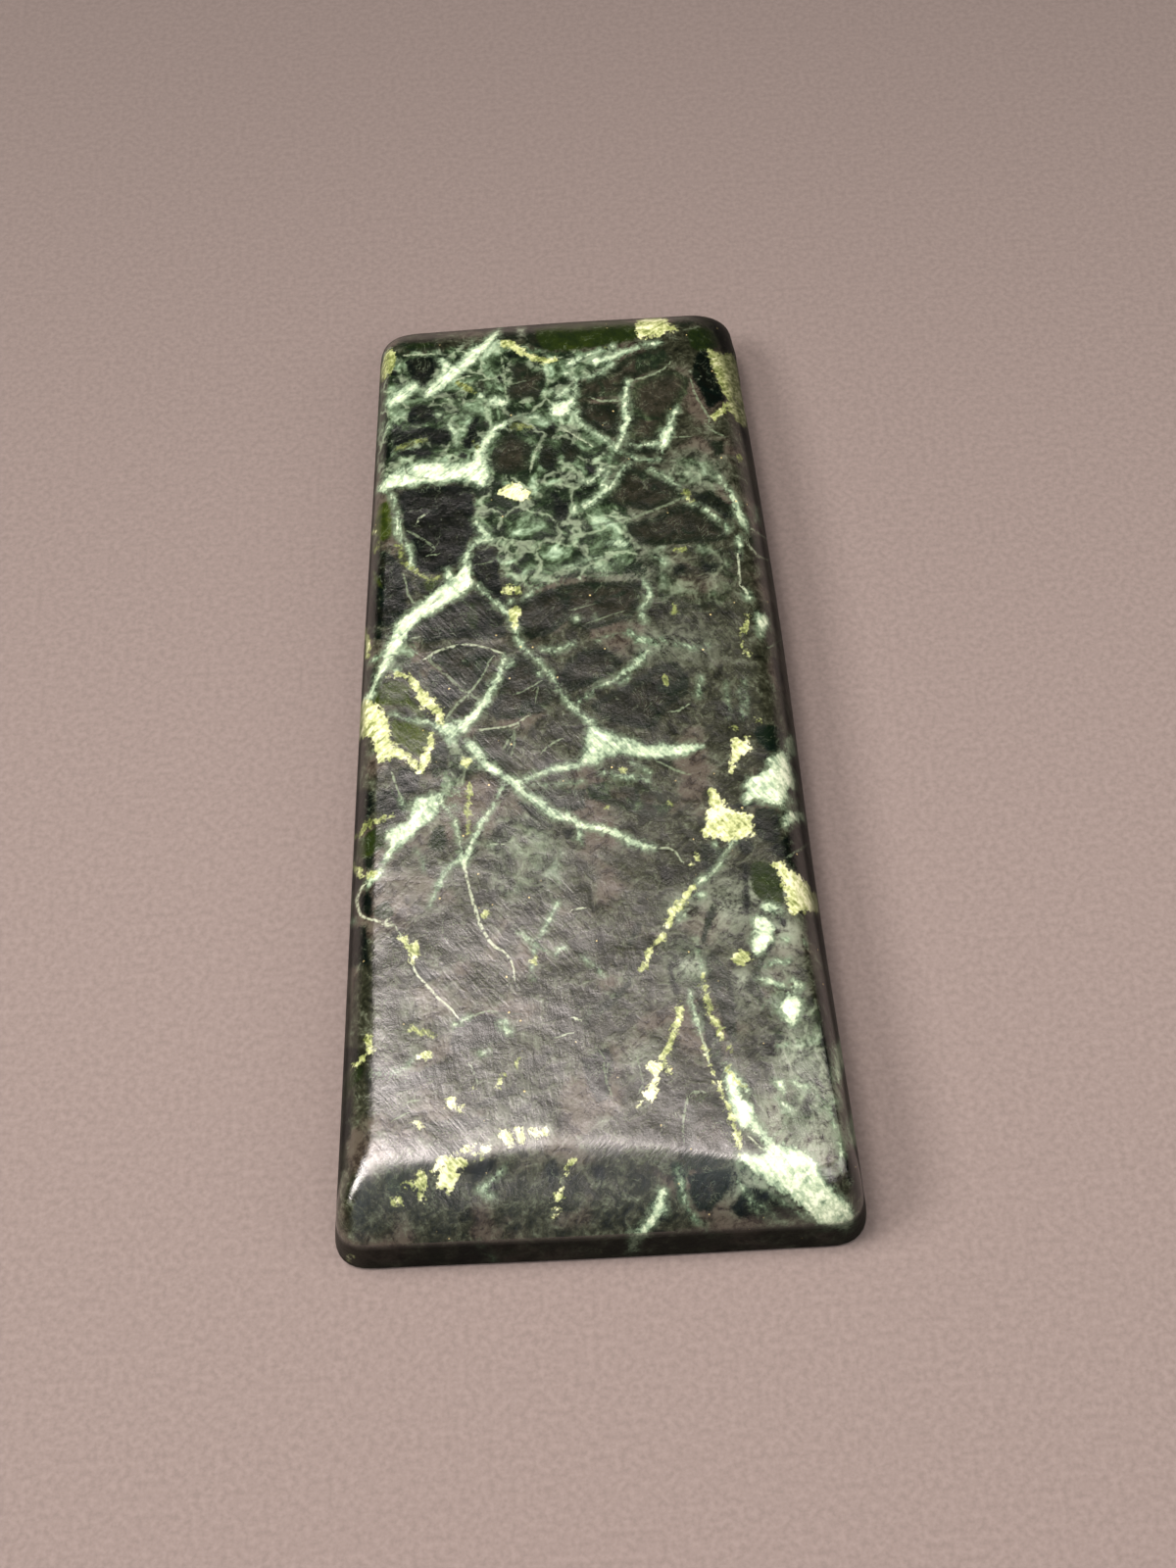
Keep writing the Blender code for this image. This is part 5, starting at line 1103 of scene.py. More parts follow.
def stone_skin():
    """All vertices in millimetres, the faces, and a flat layout for each face corner."""
    girdle = outline(GIRDLE_CORNERS, GIRDLE_BOWS)
    table = outline(TABLE_CORNERS, TABLE_BOWS)
    middle = (girdle.min(axis=0) + girdle.max(axis=0)) / 2.0
    # The loops start at the middle of the near left corner, where four_sides cuts them.
    shift = -CORNER_STEPS // 2
    girdle = np.roll(girdle - middle, shift, axis=0)
    table = np.roll(table - middle, shift, axis=0)
    roll = np.roll(roundness_round(), shift, axis=0)
    foot = pulled_in(girdle, FOOT_CHAMFER)
    edge = pulled_in(girdle, WALL_LEAN)
    skin = Skin()
    rim = add_table(skin, table)
    rim = add_bevel(skin, rim, table, edge, roll)
    rim = add_wall(skin, rim, edge, girdle, foot)
    add_base(skin, rim, foot)
    points = softened(np.concatenate(skin.points), table)
    return points, skin.faces, skin.layouts


# Distances to markings are worked out up to FAR from them, in millimetres. No vein is more
# than twice VEIN_HALF wide. A vein with one point is a spot, and gets SPOT_LENGTH.
FAR = 1.2
VEIN_HALF = 0.7
SPOT_LENGTH = 0.001
TINY = 1e-9

# The share of a side that is cut off at each corner of a soft area.
CORNER_CUT = 0.22

# Half the width of a hair-thin vein where there is none.
THREAD_HALF = 0.05

# The girdle is less polished, and so is the bevel's foot, up to MATT_RISE over the wall. The
# near bevel, which starts at NEAR_BEVEL, is polished down to the wall. The same share darkens
# the colour there as painted shade.
MATT_RISE = 1.9
MATT_BLUR = 0.7
NEAR_BLUR = 0.35
NEAR_BEVEL = -26.0
NEAR_RUN = 2.0


def near_box(places, corners, margin):
    """Which places lie in the box round the corners."""
    low = corners.min(axis=0) - margin
    high = corners.max(axis=0) + margin
    return np.nonzero(((places > low) & (places < high)).all(axis=1))[0]


def to_segments(places, starts, ends):
    """Each place's nearest spot on a run of segments: distance, segment, share and side."""
    best = np.full(len(places), np.inf)
    which = np.zeros(len(places), dtype=int)
    shares = np.zeros(len(places))
    sides = np.ones(len(places))
    for index, (start, end) in enumerate(zip(starts, ends)):
        run = end - start
        offset = places - start
        share = np.clip(offset @ run / max(run @ run, TINY), 0.0, 1.0)
        gap = np.linalg.norm(offset - share[:, None] * run, axis=1)
        side = np.sign(run[0] * offset[:, 1] - run[1] * offset[:, 0])
        closer = gap < best
        best[closer] = gap[closer]
        which[closer] = index
        shares[closer] = share[closer]
        sides[closer] = side[closer]
    return best, which, shares, sides


def inside(places, corners):
    """Which places lie inside the closed outline."""
    found = np.zeros(len(places), dtype=bool)
    for start, end in zip(corners, np.roll(corners, -1, axis=0)):
        rise = end[1] - start[1]
        if abs(rise) < TINY:
            continue
        spans = (start[1] > places[:, 1]) != (end[1] > places[:, 1])
        crossing = start[0] + (places[:, 1] - start[1]) * (end[0] - start[0]) / rise
        found ^= spans & (places[:, 0] < crossing)
    return found


def rounded(corners):
    """The closed outline with each corner cut off, which makes it softer."""
    after = np.roll(corners, -1, axis=0)
    keep = 1.0 - CORNER_CUT
    first = corners * keep + after * CORNER_CUT
    second = corners * CORNER_CUT + after * keep
    return np.stack([first, second], axis=1).reshape(-1, 2)


def along_vein(places, line):
    """Each place's distance to a vein's middle, its side, and the width of the vein there."""
    gap, which, share, side = to_segments(places, line[:-1, :2], line[1:, :2])
    return gap, side, line[which, 2] * (1.0 - share) + line[which + 1, 2] * share


def field(places, areas, veins=(), soft=True):
    """The signed distance in millimetres to the nearest marking, and that marking's tone."""
    distance = np.full(len(places), FAR)
    tone = np.zeros(len(places))

    def keep_nearest(chosen, gap, value):
        closer = gap < distance[chosen]
        distance[chosen[closer]] = gap[closer]
        tone[chosen[closer]] = value

    for value, shape in areas:
        corners = np.array(shape, dtype=float)
        if soft:
            corners = rounded(corners)
        chosen = near_box(places, corners, FAR)
        spots = places[chosen]
        gap = to_segments(spots, corners, np.roll(corners, -1, axis=0))[0]
        keep_nearest(chosen, np.where(inside(spots, corners), -gap, gap), value)
    for value, shape in veins:
        line = np.array(shape, dtype=float)
        if len(line) == 1:
            line = np.concatenate([line, line + (SPOT_LENGTH, 0.0, 0.0)])
        chosen = near_box(places, line[:, :2], FAR + VEIN_HALF)
        gap, _, width = along_vein(places[chosen], line)
        keep_nearest(chosen, gap - width / 2.0, value)
    return distance, tone


def thread_field(places, threads):
    """For hair-thin veins: the distance with its side as a sign, without it, the half width
    and the tone. A line that runs between two vertices still shows between them."""
    reach = np.full(len(places), FAR)
    sided = np.full(len(places), FAR)
    half = np.full(len(places), THREAD_HALF)
    tone = np.zeros(len(places))
    for value, shape in threads:
        line = np.array(shape, dtype=float)
        chosen = near_box(places, line[:, :2], FAR)
        gap, side, width = along_vein(places[chosen], line)
        closer = gap < reach[chosen]
        spots = chosen[closer]
        reach[spots] = gap[closer]
        sided[spots] = (gap * side)[closer]
        half[spots] = width[closer] / 2.0
        tone[spots] = value
    return sided, reach, half, tone


def cloud_field(places, clouds):
    """Soft round patches, summed."""
    total = np.zeros(len(places))
    for x, y, radius, strength in clouds:
        square = ((places - (x, y)) ** 2).sum(axis=1) / (radius * radius)
        total += strength * np.exp(-square)
    return np.clip(total, 0.0, 1.0)


def matt_field(points):
    """How unpolished the stone is, and its painted shade: 0 on the table and 1 on the wall."""
    near = np.clip((NEAR_BEVEL - points[:, 1]) / NEAR_RUN, 0.0, 1.0)
    top = WALL_HEIGHT + MATT_RISE * (1.0 - near)
    blur = MATT_BLUR + (NEAR_BLUR - MATT_BLUR) * near
    return np.clip((top - points[:, 2]) / blur, 0.0, 1.0)


def markings(points):
    """Every layer of markings at every vertex."""
    depth = THICKNESS - points[:, 2]
    slide = (DIP + DIP_GROWTH * points[:, 1]) * depth
    places = np.column_stack([points[:, 0], points[:, 1] - slide])
    layers = {}
    layers["dark"], layers["dark_tone"] = field(places, DARK_AREAS, soft=False)
    layers["olive"], layers["olive_tone"] = field(places, OLIVE_AREAS)
    layers["mint"], layers["mint_tone"] = field(places, MINT_AREAS)
    layers["pale"], layers["pale_tone"] = field(places, PALE_AREAS, PALE_VEINS)
    layers["warm"], layers["warm_tone"] = field(places, WARM_AREAS, WARM_VEINS)
    threads = thread_field(places, THREADS)
    for name, values in zip(("thread", "thread_reach", "thread_half", "thread_tone"), threads):
        layers[name] = values
    layers["cloud"] = cloud_field(places, CLOUDS)
    layers["matt_and_shade"] = matt_field(points)
    return layers


def make_stone():
    points, faces, layouts = stone_skin()
    mesh = bpy.data.meshes.new("serpentine_stone")
    mesh.from_pydata((points * MM).tolist(), [], faces)
    mesh.update()
    mesh.shade_smooth()
    mesh.set_sharp_from_angle(angle=SHARP_ANGLE)
    uv = mesh.uv_layers.new(name="OFBake")
    flat = np.concatenate([np.array(layout, dtype=float) for layout in layouts])
    uv.data.foreach_set("uv", flat.ravel())
    for name, values in markings(points).items():
        layer = mesh.attributes.new(name, "FLOAT", "POINT")
        layer.data.foreach_set("value", values.astype(np.float32))
    mesh.materials.append(stone_material())
    stone = bpy.data.objects.new("serpentine_stone", mesh)
    bpy.context.scene.collection.objects.link(stone)
    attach(stone, "root")
    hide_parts("serpentine_slab")


def linear(red, green, blue):
    """A colour given in display values of 0 to 255, as the shader takes it."""
    channels = []
    for value in (red, green, blue):
        share = value / 255.0
        channels.append(share / 12.92 if share < 0.04045 else ((share + 0.055) / 1.055) ** 2.4)
    return (*channels, 1.0)


class Graph:
    """Short ways to add the shader nodes that the materials use."""

    def __init__(self, tree):
        self.tree = tree

    def node(self, kind, **settings):
        made = self.tree.nodes.new(kind)
        for name, value in settings.items():
            setattr(made, name, value)
        return made

    def put(self, socket, value):
        """Links the socket to another one, or sets it."""
        if isinstance(value, bpy.types.NodeSocket):
            self.tree.links.new(value, socket)
        else:
            socket.default_value = value

    def math(self, operation, first, second=0.0, third=0.0):
        made = self.node("ShaderNodeMath", operation=operation)
        self.put(made.inputs[0], first)
        self.put(made.inputs[1], second)
        self.put(made.inputs[2], third)
        return made.outputs[0]

    def add(self, first, second):
        return self.math("ADD", first, second)

    def times(self, first, second):
        return self.math("MULTIPLY", first, second)

    def centred(self, value):
        """A noise that runs to both sides of 0."""
        return self.math("SUBTRACT", value, 0.5)

    def nudged(self, base, value, reach):
        """The base, moved by the value times the reach."""
        return self.math("MULTIPLY_ADD", value, reach, base)

    def attribute(self, name):
        return self.node("ShaderNodeAttribute", attribute_name=name).outputs["Fac"]

    def millimetres(self):
        """The place on the object, in millimetres."""
        made = self.node("ShaderNodeVectorMath", operation="SCALE")
        self.put(made.inputs[0], self.node("ShaderNodeTexCoord").outputs["Object"])
        made.inputs["Scale"].default_value = 1.0 / MM
        return made.outputs["Vector"]

    def parts(self, vector):
        """The X, Y and Z of a vector."""
        split = self.node("ShaderNodeSeparateXYZ")
        self.put(split.inputs[0], vector)
        return split.outputs

    def noise(self, place, scale, detail=3.0, rough=0.55, twist=0.0, output="Fac"):
        made = self.node("ShaderNodeTexNoise")
        self.put(made.inputs["Vector"], place)
        made.inputs["Scale"].default_value = scale
        made.inputs["Detail"].default_value = detail
        made.inputs["Roughness"].default_value = rough
        made.inputs["Distortion"].default_value = twist
        return made.outputs[output]

    def fibres(self, place, angle, stretch):
        """Streaks along the stone's length, turned by the angle, of this size on each axis."""
        made = self.node("ShaderNodeMapping", vector_type="TEXTURE")
        self.put(made.inputs["Vector"], place)
        made.inputs["Rotation"].default_value = (0.0, 0.0, np.radians(angle))
        made.inputs["Scale"].default_value = stretch
        return self.noise(made.outputs["Vector"], 1.0, detail=5.0, rough=0.68, twist=0.5)

    def shaken(self, place, scale, reach):
        """The place pushed along each axis by noise, by up to the reach."""
        push = self.noise(place, scale, detail=3.0, rough=0.5, output="Color")
        moved = self.node("ShaderNodeVectorMath", operation="MULTIPLY_ADD")
        self.put(moved.inputs[0], push)
        moved.inputs[1].default_value = (reach, reach, reach)
        self.put(moved.inputs[2], place)
        return moved.outputs["Vector"]

    def cells(self, place, scale, feature):
        """The outputs of a pattern of uneven cells."""
        made = self.node("ShaderNodeTexVoronoi", feature=feature)
        self.put(made.inputs["Vector"], place)
        made.inputs["Scale"].default_value = scale
        return made.outputs

    def step(self, value, low, high):
        """0 below low and 1 above high, eased between. Low may be the greater."""
        made = self.node("ShaderNodeMapRange", interpolation_type="SMOOTHSTEP")
        self.put(made.inputs["Value"], value)
        self.put(made.inputs["From Min"], low)
        self.put(made.inputs["From Max"], high)
        return made.outputs["Result"]

    def mix(self, share, first, second, blend_type="MIX"):
        made = self.node("ShaderNodeMix", data_type="RGBA", blend_type=blend_type)
        self.put(made.inputs["Factor"], share)
        self.put(made.inputs["A"], first)
        self.put(made.inputs["B"], second)
        return made.outputs["Result"]

    def ramp(self, share, stops):
        """Colours along a scale, each with its place on the scale."""
        made = self.node("ShaderNodeValToRGB")
        self.put(made.inputs["Fac"], share)
        elements = made.color_ramp.elements
        while len(elements) < len(stops):
            elements.new(0.5)
        for element, (place, colour) in zip(elements, stops):
            element.position = place
            element.color = colour
        return made.outputs["Color"]

    def tones(self, share, stops):
        """Colours along a scale, given in display values."""
        return self.ramp(share, [(place, linear(*colour)) for place, colour in stops])

    def bump(self, height, strength, distance):
        made = self.node("ShaderNodeBump")
        self.put(made.inputs["Height"], height)
        made.inputs["Strength"].default_value = strength
        made.inputs["Distance"].default_value = distance
        return made.outputs["Normal"]


# Pale veins are thinner than drawn by this much on each side, in millimetres.
PALE_THINNING = 0.05


class Grain:
    """The noises that the layers of the stone share, and the edges that they fray."""

    def __init__(self, g):
        place = g.millimetres()
        self.place = place
        self.ragged = g.centred(g.noise(place, 1.9, detail=5.0, rough=0.68, twist=0.4))
        self.crumbs = g.centred(g.noise(place, 7.0, detail=4.0, rough=0.7))
        self.grit = g.centred(g.noise(place, 3.2, detail=3.0, rough=0.6))
        self.mottle = g.noise(place, 1.15, detail=6.0, rough=0.64, twist=0.7)
        self.fine = g.noise(place, 4.5, detail=5.0, rough=0.7)
        self.broad = g.noise(place, 0.28, detail=3.0, rough=0.55)
        self.patches = g.noise(place, 0.62, detail=3.0, rough=0.5, twist=0.9)

        # Fibres in three directions, each in its own parts of the stone.
        upright = g.fibres(place, 4.0, (0.24, 1.1, 0.5))
        falling = g.fibres(place, 36.0, (0.20, 1.3, 0.5))
        rising = g.fibres(place, -46.0, (0.20, 1.3, 0.5))
        zone = g.noise(place, 0.13, detail=1.0, rough=0.4)
        fibre = g.mix(g.step(zone, 0.40, 0.47), falling, upright)
        self.fibre = g.mix(g.step(zone, 0.53, 0.60), fibre, rising)

        body = g.nudged(self.mottle, g.centred(self.fine), 0.55)
        self.body = g.nudged(body, g.centred(self.fibre), 0.42)
        self.edge = g.nudged(g.times(self.ragged, 0.52), self.crumbs, 0.34)
        frayed = g.nudged(self.edge, g.centred(self.fibre), 0.65)
        self.frayed = g.nudged(frayed, self.grit, 0.30)

        # Veins are streaked along the way that most of them run.
        x, y, _ = g.parts(place)
        upper_left = g.step(g.math("SUBTRACT", y, x), 0.0, 5.0)
        streak = g.mix(upper_left, falling, rising)
        streaky = g.nudged(self.body, g.centred(streak), 0.8)
        self.streaky = g.nudged(streaky, self.grit, 0.35)
        self.pale_line = g.add(g.attribute("pale"), g.add(self.frayed, PALE_THINNING))


# The colours of each part of the stone, as the place on the scale of its tone and the display
# values.
GREEN_GROUND = [
    (0.24, (10, 12, 6)),
    (0.42, (30, 32, 21)),
    (0.56, (50, 52, 39)),
    (0.70, (76, 82, 66)),
    (0.84, (124, 134, 114)),
]
BROWN_GROUND = [
    (0.26, (14, 12, 9)),
    (0.45, (44, 38, 31)),
    (0.62, (72, 66, 56)),
]
MINT_TONES = [
    (0.18, (14, 24, 12)),
    (0.34, (44, 58, 38)),
    (0.48, (88, 108, 82)),
    (0.62, (134, 158, 130)),
    (0.84, (204, 220, 188)),
]
CLAST_TONES = [
    (0.0, (4, 6, 3)),
    (0.35, (20, 22, 13)),
    (0.70, (40, 38, 29)),
    (1.0, (66, 64, 51)),
]
CLAST_RIM_TONES = [
    (0.0, (2, 8, 5)),
    (0.6, (20, 29, 17)),
    (1.0, (58, 72, 48)),
]
OLIVE_TONES = [
    (0.0, (5, 16, 10)),
    (0.35, (14, 24, 9)),
    (0.70, (28, 39, 8)),
    (1.0, (54, 64, 17)),
]
PALE_TONES = [
    (0.0, (38, 52, 36)),
    (0.28, (84, 102, 80)),
    (0.52, (138, 158, 130)),
    (0.72, (174, 190, 158)),
    (0.95, (220, 230, 200)),
]
WARM_TONES = [
    (0.0, (46, 54, 26)),
    (0.35, (112, 122, 68)),
    (0.62, (172, 180, 124)),
    (0.85, (224, 226, 182)),
]
THREAD_TONES = [
    (0.0, (14, 16, 10)),
    (0.3, (62, 72, 54)),
    (0.7, (124, 140, 112)),
    (1.0, (196, 206, 176)),
]
CLOUD_COLOUR = linear(132, 142, 122)
STRAND_COLOUR = linear(184, 202, 168)
FRINGE_COLOUR = linear(98, 116, 92)
CRACK_COLOUR = linear(120, 134, 110)
BRASS_COLOUR = linear(206, 186, 128)
PAINTED_WALL_SHADE = linear(4, 5, 4)


def ground(g, grain):
    """Mottled dark olive, brown in broad patches, with soft lighter clouds."""
    tone = g.nudged(grain.body, g.centred(grain.broad), 0.5)
    green = g.tones(tone, GREEN_GROUND)
    brown = g.tones(tone, BROWN_GROUND)
    colour = g.mix(g.step(grain.broad, 0.50, 0.62), green, brown)
    cloud_share = g.times(g.attribute("cloud"), g.step(grain.body, 0.30, 0.62))
    return g.mix(cloud_share, colour, CLOUD_COLOUR)


def with_mint(g, grain, colour):
    """Green matrix: smooth dark and light patches, streaks and a pale net."""
    tone = g.nudged(0.30, g.centred(grain.patches), 1.45)
    tone = g.nudged(tone, g.centred(grain.body), 0.62)
    mint = g.tones(tone, MINT_TONES)
    strands = g.cells(g.shaken(grain.place, 0.8, 2.2), 0.50, "DISTANCE_TO_EDGE")["Distance"]
    strand_share = g.times(g.step(strands, 0.10, 0.015), g.step(grain.mottle, 0.36, 0.56))
    mint = g.mix(g.times(strand_share, 0.30), mint, STRAND_COLOUR)
    line = g.nudged(g.attribute("mint"), grain.ragged, 2.4)
    line = g.nudged(line, g.centred(grain.fibre), 1.2)
    share = g.times(g.step(line, 0.30, -0.30), g.attribute("mint_tone"))
    return g.mix(share, colour, mint)


def with_clasts(g, grain, colour):
    """Dark clasts: brown and dusty inside, darker green at the rim and in patches."""
    line = g.add(g.attribute("dark"), grain.edge)
    tone = g.nudged(g.times(g.attribute("dark_tone"), 0.72), g.centred(grain.body), 1.4)
    rim_share = g.times(g.step(line, -0.75, -0.1), 0.7)
    rim_share = g.math("MAXIMUM", rim_share, g.step(grain.patches, 0.52, 0.66))
    clast = g.mix(rim_share, g.tones(tone, CLAST_TONES), g.tones(tone, CLAST_RIM_TONES))
    return g.mix(g.step(line, 0.15, -0.15), colour, clast)


def with_olive(g, grain, colour):
    """Lenses of clearer olive and teal stone."""
    tone = g.nudged(g.attribute("olive_tone"), g.centred(grain.body), 0.8)
    share = g.step(g.add(g.attribute("olive"), grain.edge), 0.10, -0.12)
    return g.mix(share, colour, g.tones(tone, OLIVE_TONES))


def with_pale(g, grain, colour):
    """Pale veins: a greenish fringe, then a streaky body that is whitest inside."""
    value = g.attribute("pale_tone")
    fringe = g.times(g.step(grain.pale_line, 0.36, 0.0), g.step(grain.body, 0.32, 0.62))
    colour = g.mix(g.times(g.times(fringe, value), 0.75), colour, FRINGE_COLOUR)
    tone = g.nudged(g.times(value, 0.57), g.centred(grain.streaky), 1.4)
    tone = g.nudged(tone, g.step(grain.pale_line, -0.02, -0.30), 0.18)
    solid = g.step(g.nudged(value, g.centred(grain.streaky), 1.3), 0.05, 0.42)
    share = g.times(g.step(grain.pale_line, 0.08, -0.10), solid)
    return g.mix(share, colour, g.tones(tone, PALE_TONES))


def with_warm(g, grain, colour):
    """Warm markings: olive yellow to cream, crumbly."""
    tone = g.nudged(g.times(g.attribute("warm_tone"), 0.74), g.centred(grain.streaky), 1.4)
    line = g.nudged(g.add(g.attribute("warm"), grain.frayed), grain.grit, 0.5)
    return g.mix(g.step(line, 0.07, -0.10), colour, g.tones(tone, WARM_TONES))


def with_threads(g, grain, colour):
    """Hair-thin veins, broken here and there."""
    half = g.nudged(g.times(g.attribute("thread_half"), 0.75), grain.ragged, 0.16)
    off = g.math("ABSOLUTE", g.nudged(g.attribute("thread"), grain.ragged, 0.22))
    share = g.step(g.math("SUBTRACT", off, half), 0.05, -0.03)
    share = g.times(share, g.step(g.attribute("thread_reach"), 0.30, 0.20))
    share = g.times(share, g.step(grain.fine, 0.36, 0.56))
    thread = g.tones(g.attribute("thread_tone"), THREAD_TONES)
    return g.mix(g.times(share, 0.66), colour, thread)


def with_cracks(g, grain, colour):
    """A net of faint healed cracks everywhere."""
    cracks = g.noise(grain.place, 0.75, detail=4.0, rough=0.6, twist=1.2)
    gap = g.math("ABSOLUTE", g.centred(cracks))
    share = g.times(g.step(gap, 0.014, 0.003), g.step(grain.mottle, 0.44, 0.60))
    return g.mix(g.times(share, 0.22), colour, CRACK_COLOUR)


def with_specks(g, grain, colour):
    """Brass-coloured specks in a fifth of the cells of a fine pattern."""
    cells = g.cells(grain.place, 1.5, "F1")
    chosen = g.node("ShaderNodeSeparateColor")
    g.put(chosen.inputs["Color"], cells["Color"])
    share = g.step(cells["Distance"], 0.11, 0.05)
    share = g.times(share, g.step(chosen.outputs["Red"], 0.80, 0.84))
    share = g.times(share, g.step(grain.crumbs, -0.08, 0.04))
    return g.mix(share, colour, BRASS_COLOUR)


# The specular level of the polished table and of the unpolished girdle.
POLISHED_LEVEL = 0.7
MATT_LEVEL = 0.04


def polish(g, grain, shader, matt_and_shade):
    """The gloss: rougher on veins, on coarse grain and where the stone is unpolished."""
    rough = g.nudged(0.11, g.step(grain.pale_line, 0.0, -0.1), 0.05)
    rough = g.nudged(rough, g.step(grain.fine, 0.5, 0.8), 0.08)
    g.put(shader.inputs["Roughness"], g.nudged(rough, matt_and_shade, 0.3))
    shader.inputs["IOR"].default_value = 1.56
    level_socket = shader.inputs["Specular IOR Level"]
    level_socket.default_value = POLISHED_LEVEL
    g.put(level_socket, g.nudged(POLISHED_LEVEL, matt_and_shade, MATT_LEVEL - POLISHED_LEVEL))


def new_material(name):
    """A material, its graph and its shader."""
    material = bpy.data.materials.new(name)
    material.use_nodes = True
    tree = material.node_tree
    return material, Graph(tree), tree.nodes["Principled BSDF"]


def stone_material():
    """Polished serpentine."""
    material, g, shader = new_material("serpentine")
    grain = Grain(g)
    matt_and_shade = g.attribute("matt_and_shade")
    colour = ground(g, grain)
    for layer in (with_mint, with_clasts, with_olive, with_pale, with_warm, with_threads,
                  with_cracks, with_specks):
        colour = layer(g, grain, colour)
    # Painted shade: the wall and the bevel's foot are darkened towards near black.
    colour = g.mix(g.times(matt_and_shade, 0.75), colour, PAINTED_WALL_SHADE)
    g.put(shader.inputs["Base Color"], colour)
    polish(g, grain, shader, matt_and_shade)
    relief = g.nudged(g.times(grain.fine, 0.6), grain.fibre, 0.8)
    relief = g.nudged(relief, g.noise(grain.place, 0.35, detail=2.0, rough=0.5), 6.0)
    relief = g.nudged(relief, grain.mottle, 0.8)
    g.put(shader.inputs["Normal"], g.bump(relief, 0.25, 0.09 * MM))
    return material


# The paper of the floor, in display values, and the painted shade that darkens it towards
# the narrow end.
PAPER_TONES = [
    (0.35, (108, 97, 92)),
    (0.65, (121, 109, 104)),
]
SHADED_PAPER = linear(66, 58, 55)
SHADE_START = -20.0
SHADE_END = 95.0
DEEPEST_SHADE = 0.6

# Half the width of the floor, in metres.
FLOOR_HALF = 4.0


def floor_material():
    """Pale paper with a faint tooth, and painted shade towards the narrow end."""
    material, g, shader = new_material("paper")
    place = g.millimetres()
    tooth = g.noise(place, 3.0, detail=4.0, rough=0.6)
    shade = g.step(g.parts(place)["Y"], SHADE_START, SHADE_END)
    colour = g.mix(g.times(shade, DEEPEST_SHADE), g.tones(tooth, PAPER_TONES), SHADED_PAPER)
    g.put(shader.inputs["Base Color"], colour)
    shader.inputs["Roughness"].default_value = 0.9
    g.put(shader.inputs["Normal"], g.bump(tooth, 0.4, 0.06 * MM))
    return material


def make_floor():
    corners = []
    for x, y in ((-1.0, -1.0), (1.0, -1.0), (1.0, 1.0), (-1.0, 1.0)):
        corners.append((x * FLOOR_HALF, y * FLOOR_HALF, 0.0))
    mesh = bpy.data.meshes.new("paper")
    mesh.from_pydata(corners, [], [(0, 1, 2, 3)])
    mesh.update()
    mesh.materials.append(floor_material())
    floor = bpy.data.objects.new("paper", mesh)
    bpy.context.scene.collection.objects.link(floor)


# The brightness of the sky along the arc from the horizon behind the narrow end, over the
# top, to the horizon behind the wide end, as the share of the half turn and the colour.
SKY_ARC = [
    (0.00, (0.01, 0.01, 0.01)),
    (0.295, (0.02, 0.02, 0.02)),
    (0.309, (0.14, 0.13, 0.12)),
    (0.322, (0.9, 0.83, 0.79)),
    (0.338, (1.75, 1.60, 1.52)),
    (0.365, (3.7, 3.35, 3.2)),
    (0.380, (4.8, 4.35, 4.15)),
    (0.405, (7.5, 6.8, 6.5)),
    (0.425, (13.0, 11.6, 11.1)),
    (0.460, (13.0, 11.6, 11.1)),
    (0.490, (5.0, 4.6, 4.4)),
    (0.550, (2.6, 2.45, 2.4)),
    (0.600, (0.7, 0.7, 0.74)),
    (0.70, (0.45, 0.49, 0.56)),
    (0.80, (0.35, 0.39, 0.46)),
    (0.90, (0.2, 0.22, 0.26)),
    (1.00, (0.05, 0.06, 0.07)),
]

# How the sky's light falls off across the stone, from the left horizon to the right one, as
# the share of the way and the strength.
SKY_ACROSS = [
    (0.00, 0.0),
    (0.20, 0.03),
    (0.27, 0.6),
    (0.31, 2.6),
    (0.37, 2.4),
    (0.405, 0.85),
    (0.43, 0.62),
    (0.452, 0.92),
    (0.470, 1.15),
    (0.490, 0.94),
    (0.506, 0.60),
    (0.520, 0.24),
    (0.62, 0.22),
    (0.72, 0.20),
    (0.80, 0.06),
    (1.00, 0.0),
]

# The least brightness of the sky on every side.
SKY_RIM = 0.02


def make_sky():
    """Soft light that is strongest overhead and falls off to a dark rim on every side."""
    world = bpy.data.worlds.new("studio")
    bpy.context.scene.world = world
    world.use_nodes = True
    tree = world.node_tree
    g = Graph(tree)
    x, y, z = g.parts(g.node("ShaderNodeTexCoord").outputs["Generated"])

    # Both ramps are scaled to at most 1, and the background's strength undoes that.
    brightest = max(max(colour) for _, colour in SKY_ARC)
    widest = max(strength for _, strength in SKY_ACROSS)
    stops = []
    for position, colour in SKY_ARC:
        stops.append((position, (*(channel / brightest for channel in colour), 1.0)))
    arc = g.ramp(g.math("DIVIDE", g.math("ARCTAN2", z, y), np.pi), stops)
    stops = []
    for position, strength in SKY_ACROSS:
        stops.append((position, (*[strength / widest] * 3, 1.0)))
    across = g.ramp(g.nudged(0.5, x, 0.5), stops)
    rim = (*[SKY_RIM / brightest / widest] * 3, 1.0)
    light = g.mix(1.0, g.mix(1.0, arc, across, "MULTIPLY"), rim, "ADD")
    background = tree.nodes["Background"]
    g.put(background.inputs["Color"], light)
    background.inputs["Strength"].default_value = brightest * widest


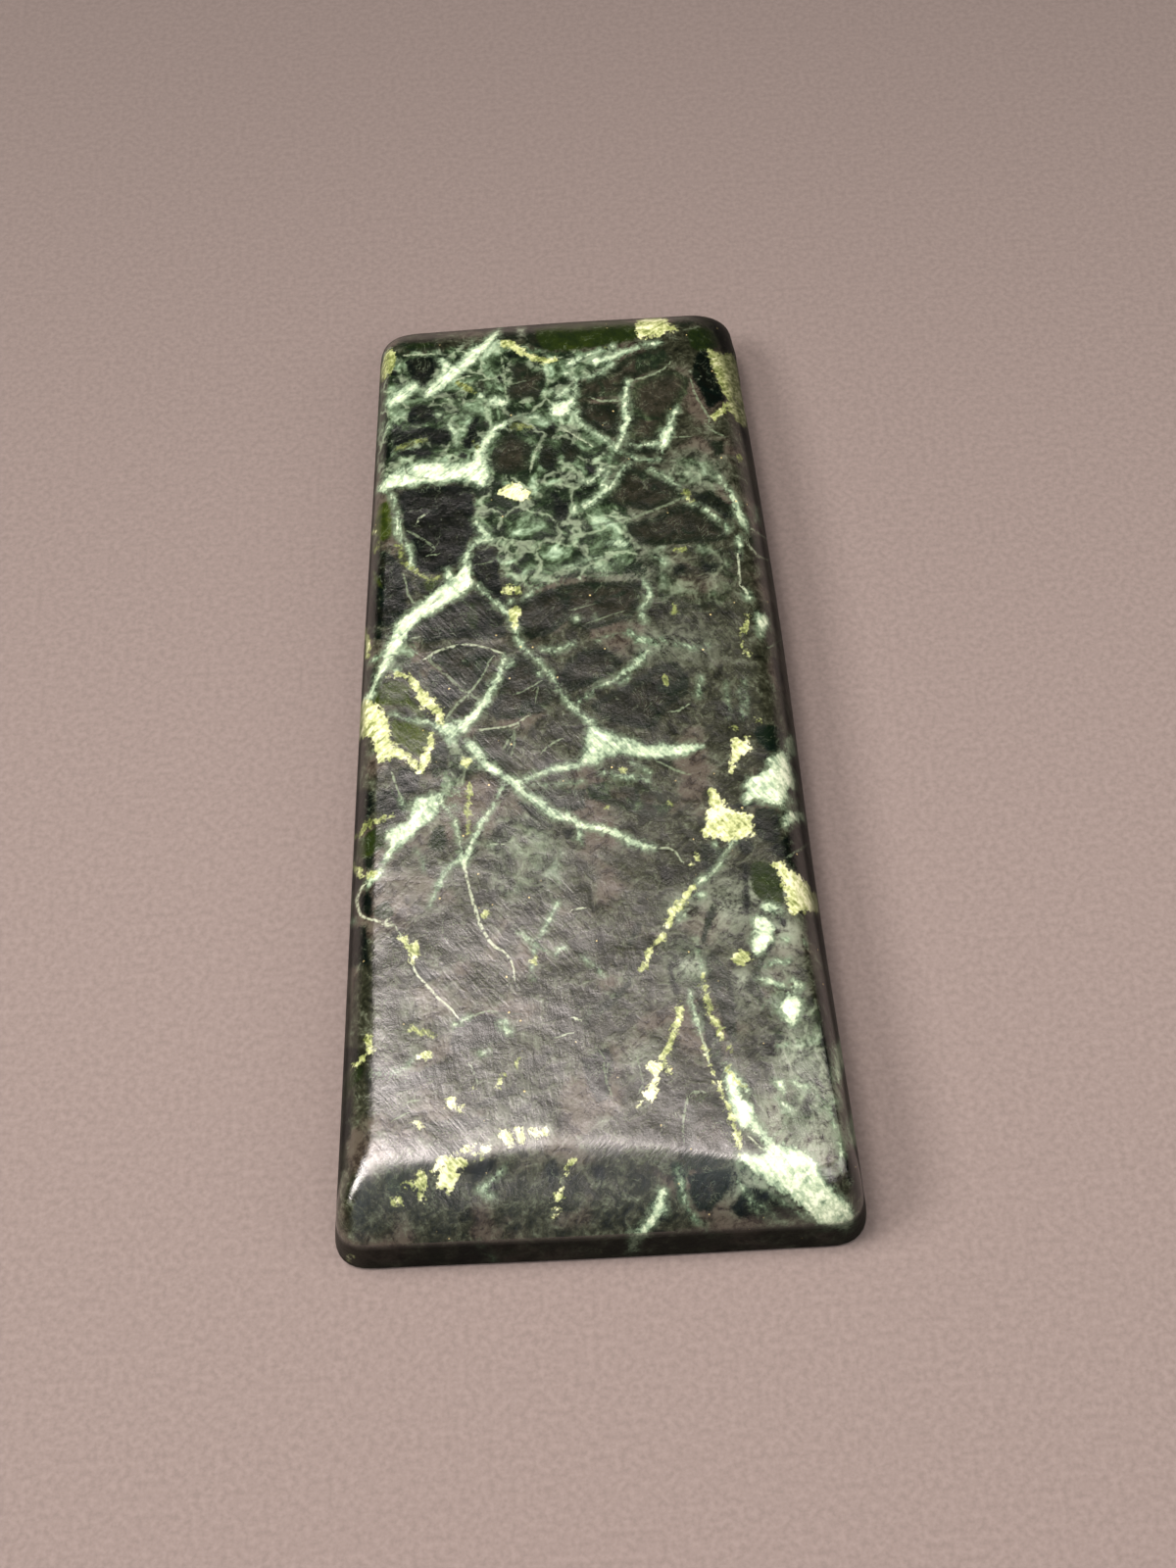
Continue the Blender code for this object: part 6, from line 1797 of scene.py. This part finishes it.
# Soft boxes as the direction they stand in, their width and height in degrees and their
# radiance. They give the crest and the rounded near corners their gleam.
SOFT_BOXES = [
    ("left box", (-0.70, -0.06, 0.71), 26.0, 17.0, 26.0),
    ("right box", (0.74, -0.24, 0.58), 26.0, 24.0, 4.0),
    ("near box", (0.30, -0.66, 0.69), 18.0, 20.0, 6.0),
]
BOX_COLOUR = (1.0, 0.93, 0.90)
BOX_DISTANCE = 0.7


def box_size(degrees):
    """The size in metres that fills this many degrees as seen from the stone."""
    return 2.0 * BOX_DISTANCE * np.tan(np.radians(degrees / 2.0))


def make_soft_boxes():
    for name, direction, width, height, radiance in SOFT_BOXES:
        data = bpy.data.lights.new(name, "AREA")
        data.shape = "RECTANGLE"
        data.size = box_size(width)
        data.size_y = box_size(height)
        data.energy = radiance * np.pi * data.size * data.size_y
        data.color = BOX_COLOUR
        box = bpy.data.objects.new(name, data)
        toward = Vector(direction).normalized()
        box.location = toward * BOX_DISTANCE
        box.rotation_euler = toward.to_track_quat("Z", "Y").to_euler()
        bpy.context.scene.collection.objects.link(box)


# The camera looks down along the stone from the wide end, in millimetres and degrees.
TARGET = Vector((0.114, -3.217, 2.0))
DISTANCE = 139.0
ELEVATION = 58.0
ROLL = 3.2
SIDEWAYS = 0.481
LENS = 58.5
SENSOR = 36.0


def make_camera():
    data = bpy.data.cameras.new("camera")
    data.sensor_fit = "VERTICAL"
    data.sensor_width = SENSOR
    data.sensor_height = SENSOR
    data.lens = LENS
    data.clip_start = 0.005
    data.clip_end = 5.0
    camera = bpy.data.objects.new("camera", data)
    tilt = Matrix.Rotation(np.radians(90.0 - ELEVATION), 3, "X")
    turn = tilt @ Matrix.Rotation(np.radians(-ROLL), 3, "Z")
    right = turn @ Vector((1.0, 0.0, 0.0))
    back = turn @ Vector((0.0, 0.0, 1.0))
    place = (TARGET + back * DISTANCE + right * SIDEWAYS) * MM
    camera.matrix_world = Matrix.Translation(place) @ turn.to_4x4()
    bpy.context.scene.collection.objects.link(camera)
    bpy.context.scene.camera = camera


def main():
    make_stone()
    make_floor()
    make_sky()
    make_soft_boxes()
    make_camera()
    bpy.context.scene.view_settings.view_transform = "Standard"


main()
